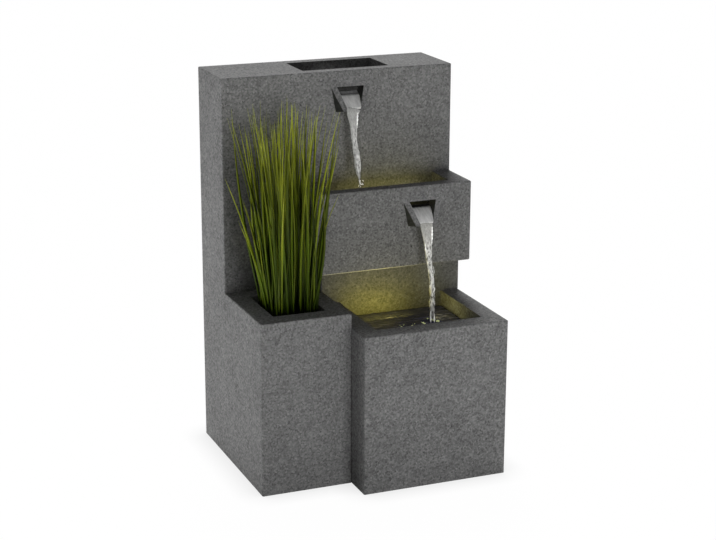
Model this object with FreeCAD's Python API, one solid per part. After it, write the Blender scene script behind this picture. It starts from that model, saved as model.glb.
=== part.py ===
import FreeCAD, Part
import math
import os

# Garden wall fountain in stone-look cast resin, in millimetres.
# The origin is the centre of the footprint on the floor. +Z is up, -Y the front, +X the right-hand side.
# The castings are bonded and bolted to the tower. Water is lifted from the basin to the trough in the
# tower's top, falls from the upper spout into the middle pool and from the lower spout into the basin.

# Overall sizes of the castings
BODY_WIDTH = 500.0
TOWER_HEIGHT = 800.0
TOWER_DEPTH = 152.0
PLANTER_WIDTH = 190.0
PLANTER_REACH = 221.0
PLANTER_HEIGHT = 358.0
BASIN_REACH = 288.0
BASIN_HEIGHT = 328.0
WALL_BLOCK_REACH = 53.0
WALL_BLOCK_HEIGHT = 78.0
BLOCK_REACH = 106.0
BLOCK_HEIGHT = 168.0
BLOCK_OVERHANG = 30.0
WALL = 8.0
EDGE_ROUND = 2.5
SEAT_GAP = 0.3

# Rims and hollows
BASIN_RIM = 40.0
PLANTER_RIM = 40.0
POOL_RIM = 40.0
POOL_FRONT_RIM = 25.0
POOL_DEPTH = 104.0
POOL_BACK_WALL = 6.0
POOL_BACK_DROP = 32.0
NICHE_ROOF = 38.0
CAVITY_ROUND = 6.0
WELL_DEPTH = 240.0
WELL_DRAIN_RADIUS = 5.0
WELL_DRAIN_PITCH = 34.0

# Trough in the tower's top
TROUGH_LENGTH = 188.0
TROUGH_WIDTH = 99.0
TROUGH_FRONT_RIM = 25.0
TRAY_DEPTH = 92.0
TRAY_WALL = 5.0
TRAY_FLANGE = 7.0

# Spouts, both of one form, placed by the distance of their centres from the left side
UPPER_SPOUT_FROM_LEFT = 275.0
UPPER_SPOUT_DROP = 33.0
LOWER_SPOUT_FROM_LEFT = 391.0
LOWER_SPOUT_DROP = 32.0
SPOUT_REACH = 22.0
SPOUT_HEIGHT = 51.0
SPOUT_TOP_WIDTH = 84.0
SPOUT_WALL_WIDTH = 64.0
SPOUT_LIP_WIDTH = 46.0
SPOUT_LIP_RISE = 4.0
CHANNEL_TOP_WIDTH = 59.0
CHANNEL_LIP_WIDTH = 28.0
CHANNEL_DEPTH = 43.0
WEIR_DROP = 19.0
DUCT_WALL = 4.0

# Service opening in the tower's back panel
DOOR_WIDTH = 220.0
DOOR_HEIGHT = 280.0
DOOR_SILL = 50.0
DOOR_FROM_LEFT = 300.0
FRAME_BAR = 10.0
FRAME_LIP = 10.0
LIP_THICK = 2.5
DOOR_THICK = 4.0
DOOR_GAP = 0.8
DOOR_RIB = 3.0
GASKET_WIDTH = 3.0
KNUCKLE_RADIUS = 2.6
PIN_RADIUS = 1.5
PIN_CLEARANCE = 0.05
PIN_INSET = 7.0
LATCH_FROM_EDGE = 28.0
LATCH_POCKET_RADIUS = 14.0
LATCH_POCKET_DEPTH = 5.0
LATCH_SHAFT_RADIUS = 4.0
LATCH_CAM_LENGTH = 24.0
LATCH_CAM_WIDTH = 12.0
LATCH_CAM_THICK = 3.0
LATCH_DISC = 1.5
LATCH_BAR = 3.0
LATCH_BOSS_WALL = 3.0
RUN_CLEARANCE = 0.08

# Pump, whose axis runs along X in the niche
PUMP_Y_FROM_NICHE = 52.0
PUMP_HEIGHT = 32.0
PUMP_FOOT_HEIGHT = 6.0
MOTOR_LENGTH = 52.0
MOTOR_WIDTH = 52.0
MOTOR_ROUND = 8.0
VOLUTE_RADIUS = 24.0
VOLUTE_LENGTH = 22.0
CHAMBER_RADIUS = 19.0
CHAMBER_DEPTH = 14.0
ROTOR_WELL_RADIUS = 10.5
ROTOR_RADIUS = 9.0
ROTOR_LENGTH = 36.0
ROTOR_SETBACK = 0.5
ROTOR_END_GAP = 2.0
SHAFT_RADIUS = 1.5
BUSH_RADIUS = 3.5
BUSH_LENGTH = 4.0
IMPELLER_RADIUS = 17.0
IMPELLER_PLATE = 1.8
VANE_COUNT = 6
VANE_HEIGHT = 8.0
VANE_THICK = 1.4
VANE_ROOT = 0.5
VANE_LAG_MIDDLE = math.radians(24)
VANE_LAG_RIM = math.radians(58)
HUB_RADIUS = 4.5
COVER_PLATE = 3.0
COVER_SPIGOT = 1.5
SPIDER_ARMS = 3
SPIDER_ARM_WIDTH = 2.8
SPIDER_HUB_WALL = 1.5
COVER_SIZE = 50.0
SUCTION_RADIUS = 8.0
STRAINER_LENGTH = 34.0
STRAINER_WALL = 2.0
STRAINER_SLOT = 3.0
STRAINER_SLOTS = 6
STRAINER_BRIDGE = 4.0
STRAINER_BOSS_LENGTH = 4.0
STRAINER_BOSS_RADIUS = 7.0
DIAL_RADIUS = 9.0
DIAL_THICK = 5.0
DIAL_STEM_RADIUS = 3.0
DIAL_RISE = 14.0
DIAL_GRIP = 4.0
FLAP_RADIUS = 8.0
FLAP_THICK = 2.0
SUCTION_CUP_RADIUS = 10.0
CUP_LIP = 0.8
CUP_HOLLOW = 2.0
CUP_COLLAR = 2.0
CUP_PEG_RADIUS = 3.0
CUP_PEG_LENGTH = 3.0

# Pipework
HOSE_FROM_LEFT = 335.0
HOSE_RADIUS = 8.0
HOSE_BORE_RADIUS = 6.15
HOSE_BEND = 70.0
ELBOW_RADIUS = 9.0
ELBOW_BEND = 30.0
BARB_RADIUS = 6.0
BARB_NECK = 5.4
BARB_LENGTH = 16.0
BARB_TOOTH = 5.0
FLOW_RADIUS = 4.5
NOZZLE_LENGTH = 22.0
NOZZLE_ROOT = 2.0
NOZZLE_WALL = 2.5
BULKHEAD_RADIUS = 10.0
BULKHEAD_FLANGE_RADIUS = 16.0
BULKHEAD_FLANGE = 4.0
BULKHEAD_HEIGHT = 120.0
SEAL_THICK = 2.0
NUT_FLATS = 30.0
NUT_THICK = 8.0
THREAD_SPARE = 2.0
INLET_FLANGE_RADIUS = 14.0
INLET_FLANGE = 3.0
HOSE_OVERLAP = 14.0
CLAMP_WIDTH = 9.0
CLAMP_THICK = 1.0
CLAMP_SCREW = 7.0
CLIP_DROPS = (91.0, 241.0)
CLIP_HEIGHT = 14.0
CLIP_WALL = 2.5
CLIP_BASE = 30.0
CLIP_STEM = 8.0
CLIP_MOUTH = 0.7
PLUG_FROM_LEFT = 370.0
PLUG_RADIUS = 9.0
PLUG_FLANGE_RADIUS = 14.0
PLUG_FLANGE = 3.0
PLUG_TAB = 16.0
PLUG_HEIGHT = 22.0
CABLE_FROM_LEFT = 450.0
CABLE_HEIGHT = 28.0
CABLE_HOLE_RADIUS = 10.0
CABLE_RADIUS = 4.0
GROMMET_FLANGE_RADIUS = 13.5
GROMMET_FLANGE = 2.0
GROMMET_NOSE = 2.0

# Lights
LIGHT_RADIUS = 22.0
LIGHT_HEIGHT = 18.0
LIGHT_WALL = 2.5
LENS_THICK = 2.5
LENS_DOME = 2.0
LENS_LEDGE = 1.0
LENS_SHOULDER = 0.7
BOARD_THICK = 1.6
DIODE_COUNT = 6
DIODE_SIZE = 3.0
DIODE_CIRCLE = 11.0
BASIN_LIGHT_FROM_LEFT = 330.0
POOL_LIGHT_FROM_LEFT = 360.0
LIGHT_FOOT = 8.0
LIGHT_FOOT_RADIUS = 17.5
LIGHT_FOOT_NECK = 9.0
LIGHT_FOOT_COLLAR = 2.0
LIGHT_FOOT_HOLLOW = 2.0
BRACKET_THICK = 2.5
BRACKET_WIDTH = 20.0
BRACKET_DROP = 28.0
BRACKET_TAB = 22.0
BRACKET_SETBACK = 5.0
STUD_RADIUS = 2.5
STUD_LENGTH = 8.0
THUMB_NUT_RADIUS = 6.0
THUMB_NUT_THICK = 4.0
SCREW_HEAD_RADIUS = 5.0
SCREW_HEAD = 2.5

# Fasteners between the castings
BOLT_RADIUS = 4.0
BOLT_HEAD_FLATS = 13.0
BOLT_HEAD = 5.5
WASHER_RADIUS = 8.0
WASHER_THICK = 1.6
BOLT_GRIP = 26.0
BOLT_CLEARANCE = 0.4
BOLT_INSET = 60.0
POOL_BOLT_LOW = 15.0
POOL_BOLT_DROP = 30.0
BOLT_BOSS_RADIUS = 12.0

# Planting
POT_CLEARANCE = 1.0
POT_WALL = 2.5
POT_TAPER = 9.0
POT_LIP = 4.0
POT_DROP = 12.0
POT_ROUND = 6.0
SOIL_DROP = 12.0
GRASS_BLADES = 84
GRASS_CROWN = 8.0
GRASS_HEIGHT = 432.0
GRASS_LEAN_LEFT = 95.0
GRASS_LEAN_RIGHT = 56.0
GRASS_LEAN_FRONT = 60.0
GRASS_LEAN_BACK = 46.0
BLADE_WIDTH = 4.6
BLADE_THICK = 1.3
BLADE_SPANS = 5
BLADE_TIP_WIDTH = 0.12
BLADE_TIP_THICK = 0.4
BLADE_TAPER = 1.6
BLADE_SHORTER = 0.34
BLADE_UPRIGHTER = 0.38
GOLDEN_ANGLE = math.radians(137.508)

# Planes that the castings share
LEFT = -BODY_WIDTH / 2
RIGHT = BODY_WIDTH / 2
BACK = (TOWER_DEPTH + BASIN_REACH) / 2
TOWER_FRONT = BACK - TOWER_DEPTH
BASIN_FRONT = TOWER_FRONT - BASIN_REACH
PLANTER_FRONT = TOWER_FRONT - PLANTER_REACH
PLANTER_RIGHT = LEFT + PLANTER_WIDTH
BASIN_LEFT = PLANTER_RIGHT
WALL_BLOCK_FRONT = TOWER_FRONT - WALL_BLOCK_REACH
BLOCK_FRONT = TOWER_FRONT - BLOCK_REACH
BLOCK_LEFT = BASIN_LEFT - BLOCK_OVERHANG
BLOCK_BOTTOM = BASIN_HEIGHT + WALL_BLOCK_HEIGHT
BLOCK_TOP = BLOCK_BOTTOM + BLOCK_HEIGHT
FRONT_WALL_INSIDE = TOWER_FRONT + WALL
BACK_WALL_INSIDE = BACK - WALL
POOL_FLOOR = BLOCK_TOP - POOL_DEPTH
POOL_FRONT = BLOCK_FRONT + POOL_FRONT_RIM
NICHE_BACK = TOWER_FRONT - WALL
NICHE_TOP = BASIN_HEIGHT - NICHE_ROOF
WELL_FLOOR = PLANTER_HEIGHT - WELL_DEPTH

# Trough and spouts
UPPER_SPOUT_X = LEFT + UPPER_SPOUT_FROM_LEFT
UPPER_SPOUT_TOP = TOWER_HEIGHT - UPPER_SPOUT_DROP
LOWER_SPOUT_X = LEFT + LOWER_SPOUT_FROM_LEFT
LOWER_SPOUT_TOP = BLOCK_TOP - LOWER_SPOUT_DROP
TROUGH_LEFT = UPPER_SPOUT_X - TROUGH_LENGTH / 2
TROUGH_RIGHT = UPPER_SPOUT_X + TROUGH_LENGTH / 2
TROUGH_FRONT = TOWER_FRONT + TROUGH_FRONT_RIM
TROUGH_BACK = TROUGH_FRONT + TROUGH_WIDTH
TRAY_TOP = TOWER_HEIGHT - WALL
TRAY_FLOOR = TOWER_HEIGHT - TRAY_DEPTH

# Service opening
DOOR_X = LEFT + DOOR_FROM_LEFT
OPENING_LEFT = DOOR_X - DOOR_WIDTH / 2
OPENING_RIGHT = DOOR_X + DOOR_WIDTH / 2
OPENING_TOP = DOOR_SILL + DOOR_HEIGHT
BAY_LEFT = OPENING_LEFT + FRAME_BAR
BAY_RIGHT = OPENING_RIGHT - FRAME_BAR
BAY_BOTTOM = DOOR_SILL + FRAME_BAR
BAY_TOP = OPENING_TOP - FRAME_BAR
HINGE_X = BAY_LEFT + DOOR_GAP + KNUCKLE_RADIUS
HINGE_Y = BACK - KNUCKLE_RADIUS
LIP_FACE = BACK_WALL_INSIDE + LIP_THICK
LATCH_X = BAY_RIGHT - DOOR_GAP - LATCH_FROM_EDGE
LATCH_Z = DOOR_SILL + DOOR_HEIGHT / 2

# Pump and pipework
HOSE_X = LEFT + HOSE_FROM_LEFT
PUMP_Y = NICHE_BACK - PUMP_Y_FROM_NICHE
PUMP_Z = WALL + PUMP_HEIGHT
VOLUTE_FRONT = HOSE_X - VOLUTE_LENGTH / 2
VOLUTE_END = HOSE_X + VOLUTE_LENGTH / 2
CHAMBER_FLOOR = VOLUTE_FRONT + CHAMBER_DEPTH
ROTOR_FRONT = CHAMBER_FLOOR + ROTOR_SETBACK
ROTOR_WELL_END = ROTOR_FRONT + ROTOR_LENGTH + ROTOR_END_GAP
SPIGOT_END = VOLUTE_FRONT + COVER_SPIGOT
COVER_FRONT = VOLUTE_FRONT - COVER_PLATE
STRAINER_BACK = COVER_FRONT - SEAT_GAP
STRAINER_FRONT = STRAINER_BACK - STRAINER_LENGTH
NOZZLE_BASE = PUMP_Z + VOLUTE_RADIUS - NOZZLE_ROOT
NOZZLE_TOP = NOZZLE_BASE + NOZZLE_LENGTH
BULKHEAD_Z = BULKHEAD_HEIGHT
BULKHEAD_INNER = NICHE_BACK - SEAL_THICK - BULKHEAD_FLANGE
BULKHEAD_OUTER = FRONT_WALL_INSIDE + SEAL_THICK + NUT_THICK + THREAD_SPARE
RISER_Y = BULKHEAD_OUTER + BARB_LENGTH + HOSE_BEND
INLET_TAIL = TRAY_FLOOR - TRAY_WALL - NUT_THICK - THREAD_SPARE
RISER_TOP = INLET_TAIL - BARB_LENGTH + HOSE_OVERLAP
HOSE_GRIP = HOSE_OVERLAP / 2
PLUG_X = LEFT + PLUG_FROM_LEFT
CABLE_X = LEFT + CABLE_FROM_LEFT

# Lights
BASIN_LIGHT_X = LEFT + BASIN_LIGHT_FROM_LEFT
BRACKET_Y = WALL_BLOCK_FRONT + BRACKET_SETBACK
BASIN_LIGHT_Y = BRACKET_Y - LIGHT_RADIUS - BRACKET_THICK
BASIN_LIGHT_Z = NICHE_TOP - BRACKET_DROP + BRACKET_THICK
POOL_LIGHT_X = LEFT + POOL_LIGHT_FROM_LEFT
POOL_LIGHT_Y = (POOL_FRONT + TOWER_FRONT - POOL_BACK_WALL) / 2
POOL_LIGHT_Z = POOL_FLOOR + LIGHT_FOOT

# Planting
PLANTER_X = (LEFT + PLANTER_RIGHT) / 2
PLANTER_Y = (PLANTER_FRONT + TOWER_FRONT) / 2
POT_HALF_X = PLANTER_WIDTH / 2 - PLANTER_RIM - POT_CLEARANCE
POT_HALF_Y = PLANTER_REACH / 2 - PLANTER_RIM - POT_CLEARANCE
POT_TOP = PLANTER_HEIGHT - POT_DROP
SOIL_TOP = POT_TOP - SOIL_DROP
GRASS_BASE = SOIL_TOP + GRASS_CROWN

CUT = 1.0


def vec(x, y, z):
    return FreeCAD.Vector(x, y, z)


def box(x0, x1, y0, y1, z0, z1):
    """A block given by its low and high planes."""
    return Part.makeBox(x1 - x0, y1 - y0, z1 - z0, vec(x0, y0, z0))


def cylinder(radius, start, end):
    """A round bar between two points."""
    run = end - start
    return Part.makeCylinder(radius, run.Length, start, run)


def turned(profile, origin, direction):
    """A turned piece: profile holds (radius, distance along the axis) pairs."""
    points = [vec(radius, 0, along) for radius, along in profile]
    face = Part.Face(Part.makePolygon(points + points[:1]))
    solid = face.revolve(vec(0, 0, 0), vec(0, 0, 1), 360)
    turn = FreeCAD.Rotation(vec(0, 0, 1), direction)
    solid.Placement = FreeCAD.Placement(origin, turn)
    return solid


def prism(points, run):
    """A flat polygon drawn out along run."""
    return Part.Face(Part.makePolygon(points + points[:1])).extrude(run)


def hexagon(flats, thick, origin, direction):
    """A hexagonal bar of a nut or a bolt head."""
    corner = flats / math.sqrt(3)
    angles = [math.radians(60 * i) for i in range(6)]
    solid = prism([vec(corner * math.cos(a), corner * math.sin(a), 0) for a in angles], vec(0, 0, thick))
    solid.Placement = FreeCAD.Placement(origin, FreeCAD.Rotation(vec(0, 0, 1), direction))
    return solid


def lies_on(edge, axis, value):
    """True when every vertex of the edge lies on the plane axis = value."""
    return all(abs(getattr(v.Point, axis) - value) < 0.01 for v in edge.Vertexes)


def rounded(solid, radius, sharp=()):
    """Round all straight edges but those on the planes in sharp, given as (axis, value)."""
    edges = [e for e in solid.Edges if not any(lies_on(e, axis, value) for axis, value in sharp)]
    return solid.makeFillet(radius, edges)


def upright_round(solid, radius):
    """Round the upright edges of a block."""
    edges = [e for e in solid.Edges if abs(e.tangentAt(e.FirstParameter).z) > 0.99]
    return solid.makeFillet(radius, edges)


def rounded_rectangle(half_x, half_y, radius, centre_x, centre_y, z):
    """A closed wire of four lines and four arcs."""
    edges = []
    corners = [(1, 1, 0), (-1, 1, 90), (-1, -1, 180), (1, -1, 270)]
    ends = []
    for sign_x, sign_y, start in corners:
        cx = centre_x + sign_x * (half_x - radius)
        cy = centre_y + sign_y * (half_y - radius)
        three = [math.radians(start + step) for step in (0, 45, 90)]
        points = [vec(cx + radius * math.cos(a), cy + radius * math.sin(a), z) for a in three]
        ends.append(points)
    for index, points in enumerate(ends):
        edges.append(Part.Arc(*points).toShape())
        edges.append(Part.LineSegment(points[2], ends[(index + 1) % 4][0]).toShape())
    return Part.Wire(edges)


def bent_tube(start, corner, end, bend, outer, inner):
    """A hose from start to end, with a quarter turn of radius bend inside the corner."""
    first = (corner - start).normalize()
    last = (end - corner).normalize()
    turn_start = corner - first * bend
    turn_end = corner + last * bend

    def rod(radius):
        disc = Part.Face(Part.Wire(Part.makeCircle(radius, turn_start, first)))
        turn = disc.revolve(turn_start + last * bend, first.cross(last), 90)
        return turn.fuse([cylinder(radius, start, turn_start), cylinder(radius, turn_end, end)])

    return rod(outer).cut(rod(inner))


def bolt_places(x_list, z_list):
    """Every pair of the given x and z."""
    return [(x, z) for x in x_list for z in z_list]


# Bolts go from inside the tower into the castings: planter, basin, wall block and pool block.
PLANTER_BOLTS = bolt_places(
    (LEFT + PLANTER_RIM / 2, PLANTER_RIGHT - PLANTER_RIM / 2),
    (BOLT_INSET, PLANTER_HEIGHT - BOLT_INSET),
)
BASIN_BOLTS = bolt_places(
    (BASIN_LEFT + BASIN_RIM / 2, RIGHT - BASIN_RIM / 2),
    (BOLT_INSET, BASIN_HEIGHT - BOLT_INSET),
)
BLOCK_BOLTS = bolt_places(
    (BLOCK_LEFT + POOL_RIM / 2, RIGHT - POOL_RIM / 2),
    (POOL_FLOOR + POOL_BOLT_LOW, BLOCK_TOP - POOL_BOLT_DROP),
)
WALL_BLOCK_BOLTS = bolt_places(
    (BASIN_LEFT + BASIN_RIM, RIGHT - BASIN_RIM),
    (BASIN_HEIGHT + WALL_BLOCK_HEIGHT / 2,),
)
THROUGH_BOLTS = PLANTER_BOLTS + BASIN_BOLTS
BLIND_BOLTS = BLOCK_BOLTS + WALL_BLOCK_BOLTS


def bolt_hole(x, z, depth):
    """Clearance hole through the tower's front wall and depth mm into the casting before it."""
    radius = BOLT_RADIUS + BOLT_CLEARANCE
    return cylinder(radius, vec(x, TOWER_FRONT - depth, z), vec(x, FRONT_WALL_INSIDE + CUT, z))


def cut_bolt_holes(solid, places, depth):
    for x, z in places:
        solid = solid.cut(bolt_hole(x, z, depth))
    return solid


def channel_section(extra, x, y, top):
    """The trapezoid of a spout's channel, grown outwards by extra on every side."""
    lean = (CHANNEL_TOP_WIDTH - CHANNEL_LIP_WIDTH) / 2 / CHANNEL_DEPTH
    grow = extra * math.sqrt(1 + lean * lean)
    high = CHANNEL_TOP_WIDTH / 2 + grow + lean * extra
    low = CHANNEL_LIP_WIDTH / 2 + grow - lean * extra
    z0 = top - CHANNEL_DEPTH - extra
    z1 = top + extra
    return [vec(x - high, y, z1), vec(x + high, y, z1), vec(x + low, y, z0), vec(x - low, y, z0)]


def duct_hole(x, top, y0, y1):
    """What is cut from a wall for a spout's duct to pass."""
    section = channel_section(DUCT_WALL + SEAT_GAP, x, y0, top)
    return prism(section, vec(0, y1 - y0, 0))


def spout(x, face, top, throat):
    """A flared chute: flush with the wall at its top, out by its reach at the lip, with a ramp inside."""
    top_half = SPOUT_TOP_WIDTH / 2
    wall_half = SPOUT_WALL_WIDTH / 2
    lip_half = SPOUT_LIP_WIDTH / 2
    low = top - SPOUT_HEIGHT
    lip = face - SPOUT_REACH
    top_left = vec(x - top_half, face, top)
    top_right = vec(x + top_half, face, top)
    wall_left = vec(x - wall_half, face, low)
    wall_right = vec(x + wall_half, face, low)
    lip_left = vec(x - lip_half, lip, low + SPOUT_LIP_RISE)
    lip_right = vec(x + lip_half, lip, low + SPOUT_LIP_RISE)
    outlines = [
        (top_left, top_right, wall_right, wall_left),
        (top_left, lip_left, lip_right, top_right),
        (wall_left, wall_right, lip_right, lip_left),
        (top_left, wall_left, lip_left),
        (top_right, lip_right, wall_right),
    ]
    faces = [Part.Face(Part.makePolygon(list(line) + [line[0]])) for line in outlines]
    cheeks = Part.Solid(Part.Shell(faces))
    duct = prism(channel_section(DUCT_WALL, x, face, top), vec(0, throat, 0))
    channel = prism(channel_section(0, x, lip - CUT, top), vec(0, SPOUT_REACH + throat + 2 * CUT, 0))
    weir = top - WEIR_DROP
    floor = top - CHANNEL_DEPTH
    slope = (weir - floor) / (SPOUT_REACH + throat)
    half = SPOUT_TOP_WIDTH
    ramp = [
        vec(x - half, lip - CUT, floor - CUT * slope),
        vec(x - half, face + throat + CUT, weir + CUT * slope),
        vec(x - half, face + throat + CUT, floor - 2 * CUT),
        vec(x - half, lip - CUT, floor - 2 * CUT),
    ]
    channel = channel.cut(prism(ramp, vec(2 * half, 0, 0)))
    return cheeks.fuse(duct).cut(channel).removeSplitter()


def tower_shell():
    """The rear slab, open below and behind, its front corners square where other castings meet its sides."""
    outer = rounded(box(LEFT, RIGHT, TOWER_FRONT, BACK, 0, TOWER_HEIGHT), EDGE_ROUND, [("z", 0)])
    edge = TOWER_FRONT + EDGE_ROUND
    outer = outer.fuse(box(LEFT, LEFT + EDGE_ROUND, TOWER_FRONT, edge, 0, PLANTER_HEIGHT))
    outer = outer.fuse(box(RIGHT - EDGE_ROUND, RIGHT, TOWER_FRONT, edge, 0, BLOCK_TOP))
    shell = outer.removeSplitter()
    shell = shell.cut(box(LEFT + WALL, RIGHT - WALL, FRONT_WALL_INSIDE, BACK + CUT, -CUT, TRAY_TOP))
    mouth = box(TROUGH_LEFT, TROUGH_RIGHT, TROUGH_FRONT, TROUGH_BACK, TRAY_TOP - CUT, TOWER_HEIGHT + CUT)
    shell = shell.cut(upright_round(mouth, EDGE_ROUND))
    shell = shell.cut(duct_hole(UPPER_SPOUT_X, UPPER_SPOUT_TOP, TOWER_FRONT - CUT, FRONT_WALL_INSIDE + CUT))
    for x, z, radius in (
        (HOSE_X, BULKHEAD_Z, BULKHEAD_RADIUS + SEAT_GAP),
        (PLUG_X, PLUG_HEIGHT, PLUG_RADIUS),
    ):
        shell = shell.cut(cylinder(radius, vec(x, TOWER_FRONT - CUT, z), vec(x, FRONT_WALL_INSIDE + CUT, z)))
    return cut_bolt_holes(shell, THROUGH_BOLTS + BLIND_BOLTS, CUT)


def back_panel():
    """The panel bonded into the tower's open back, with the service opening and the hole for the lead."""
    gap = SEAT_GAP
    panel = box(LEFT + WALL + gap, RIGHT - WALL - gap, BACK_WALL_INSIDE, BACK, 0, TRAY_TOP - gap)
    inside_y = BACK_WALL_INSIDE - CUT
    panel = panel.cut(box(OPENING_LEFT, OPENING_RIGHT, inside_y, BACK + CUT, DOOR_SILL, OPENING_TOP))
    inside = vec(CABLE_X, inside_y, CABLE_HEIGHT)
    outside = vec(CABLE_X, BACK + CUT, CABLE_HEIGHT)
    panel = panel.cut(cylinder(CABLE_HOLE_RADIUS, inside, outside))
    seat = vec(CABLE_X, BACK - GROMMET_FLANGE, CABLE_HEIGHT)
    return panel.cut(cylinder(GROMMET_FLANGE_RADIUS + gap, seat, outside))


def planter_box():
    """A double wall with a well for the pot, open below."""
    outer = box(LEFT, PLANTER_RIGHT, PLANTER_FRONT, TOWER_FRONT, 0, PLANTER_HEIGHT)
    outer = rounded(outer, EDGE_ROUND, [("z", 0), ("y", TOWER_FRONT)])
    well = box(
        LEFT + PLANTER_RIM, PLANTER_RIGHT - PLANTER_RIM,
        PLANTER_FRONT + PLANTER_RIM, TOWER_FRONT - PLANTER_RIM,
        WELL_FLOOR, PLANTER_HEIGHT + CUT,
    )
    under = box(
        LEFT + WALL, PLANTER_RIGHT - WALL, PLANTER_FRONT + WALL, TOWER_FRONT - WALL,
        -CUT, PLANTER_HEIGHT - WALL,
    )
    core = box(
        LEFT + PLANTER_RIM - WALL, PLANTER_RIGHT - PLANTER_RIM + WALL,
        PLANTER_FRONT + PLANTER_RIM - WALL, TOWER_FRONT - PLANTER_RIM + WALL,
        WELL_FLOOR - WALL, PLANTER_HEIGHT,
    )
    solid = outer.cut(under.cut(core)).cut(upright_round(well, EDGE_ROUND))
    for step in (-1, 0, 1):
        y = PLANTER_Y + step * WELL_DRAIN_PITCH
        low = vec(PLANTER_X, y, WELL_FLOOR - WALL - CUT)
        solid = solid.cut(cylinder(WELL_DRAIN_RADIUS, low, vec(PLANTER_X, y, WELL_FLOOR + CUT)))
    return cut_bolt_holes(solid, PLANTER_BOLTS, WALL + CUT)


def basin_cavity():
    """The upright hollow that holds the basin's water."""
    cavity = box(
        BASIN_LEFT + BASIN_RIM, RIGHT - BASIN_RIM, BASIN_FRONT + BASIN_RIM, WALL_BLOCK_FRONT,
        WALL, BASIN_HEIGHT + CUT,
    )
    return upright_round(cavity, CAVITY_ROUND)


def basin_tub():
    """The tub's outside: rim, front, sides and the back wall that bolts to the tower."""
    outer = box(BASIN_LEFT, RIGHT, BASIN_FRONT, TOWER_FRONT, 0, BASIN_HEIGHT)
    outer = rounded(outer, EDGE_ROUND, [("z", 0), ("y", TOWER_FRONT)])
    under = box(BASIN_LEFT + WALL, RIGHT - WALL, BASIN_FRONT + WALL, NICHE_BACK, -CUT, BASIN_HEIGHT - WALL)
    solid = outer.cut(under).cut(basin_cavity())
    for x, z, radius in (
        (HOSE_X, BULKHEAD_Z, BULKHEAD_RADIUS + SEAT_GAP),
        (PLUG_X, PLUG_HEIGHT, PLUG_RADIUS),
    ):
        solid = solid.cut(cylinder(radius, vec(x, NICHE_BACK - CUT, z), vec(x, TOWER_FRONT + CUT, z)))
    return cut_bolt_holes(solid, BASIN_BOLTS, WALL + CUT)


def basin_liner():
    """The tub's inside, bonded under the rim and to the back wall, with a niche for the pump behind."""
    core = box(
        BASIN_LEFT + BASIN_RIM - WALL, RIGHT - BASIN_RIM + WALL,
        BASIN_FRONT + BASIN_RIM - WALL, NICHE_BACK, 0, BASIN_HEIGHT - WALL,
    )
    niche = box(
        BASIN_LEFT + BASIN_RIM, RIGHT - BASIN_RIM, WALL_BLOCK_FRONT - 2 * CAVITY_ROUND, NICHE_BACK + CUT,
        WALL, NICHE_TOP,
    )
    return core.cut(basin_cavity().fuse(niche))


def wall_block():
    """The lit wall between basin and pool block, open to the tower, with two bosses for its bolts."""
    outer = box(BASIN_LEFT, RIGHT, WALL_BLOCK_FRONT, TOWER_FRONT, BASIN_HEIGHT, BLOCK_BOTTOM)
    outer = rounded(outer, EDGE_ROUND, [("z", BASIN_HEIGHT), ("z", BLOCK_BOTTOM), ("y", TOWER_FRONT)])
    pocket = box(
        BASIN_LEFT + WALL, RIGHT - WALL, WALL_BLOCK_FRONT + WALL, TOWER_FRONT + CUT,
        BASIN_HEIGHT + WALL, BLOCK_BOTTOM - WALL,
    )
    solid = outer.cut(pocket)
    for x, z in WALL_BLOCK_BOLTS:
        boss = cylinder(BOLT_BOSS_RADIUS, vec(x, WALL_BLOCK_FRONT + WALL - CUT, z), vec(x, TOWER_FRONT, z))
        solid = solid.fuse(boss)
    return cut_bolt_holes(solid.removeSplitter(), WALL_BLOCK_BOLTS, BOLT_GRIP)


def cascade_block():
    """The block with the middle pool, hollowed from behind below the pool's floor."""
    outer = box(BLOCK_LEFT, RIGHT, BLOCK_FRONT, TOWER_FRONT, BLOCK_BOTTOM, BLOCK_TOP)
    outer = rounded(outer, EDGE_ROUND, [("y", TOWER_FRONT)])
    pool = box(
        BLOCK_LEFT + POOL_RIM, RIGHT - POOL_RIM, POOL_FRONT, TOWER_FRONT - POOL_BACK_WALL,
        POOL_FLOOR, BLOCK_TOP + CUT,
    )
    pool = upright_round(pool, EDGE_ROUND)
    above_back_wall = box(
        BLOCK_LEFT + POOL_RIM, RIGHT - POOL_RIM,
        TOWER_FRONT - POOL_BACK_WALL - 2 * EDGE_ROUND, TOWER_FRONT + CUT,
        BLOCK_TOP - POOL_BACK_DROP, BLOCK_TOP + CUT,
    )
    pocket = box(
        BLOCK_LEFT + WALL, RIGHT - WALL, BLOCK_FRONT + WALL, TOWER_FRONT + CUT,
        BLOCK_BOTTOM + WALL, POOL_FLOOR - WALL,
    )
    solid = outer.cut(pool).cut(above_back_wall).cut(pocket)
    solid = solid.cut(duct_hole(LOWER_SPOUT_X, LOWER_SPOUT_TOP, BLOCK_FRONT - CUT, POOL_FRONT + CUT))
    return cut_bolt_holes(solid, BLOCK_BOLTS, BOLT_GRIP)


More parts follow.
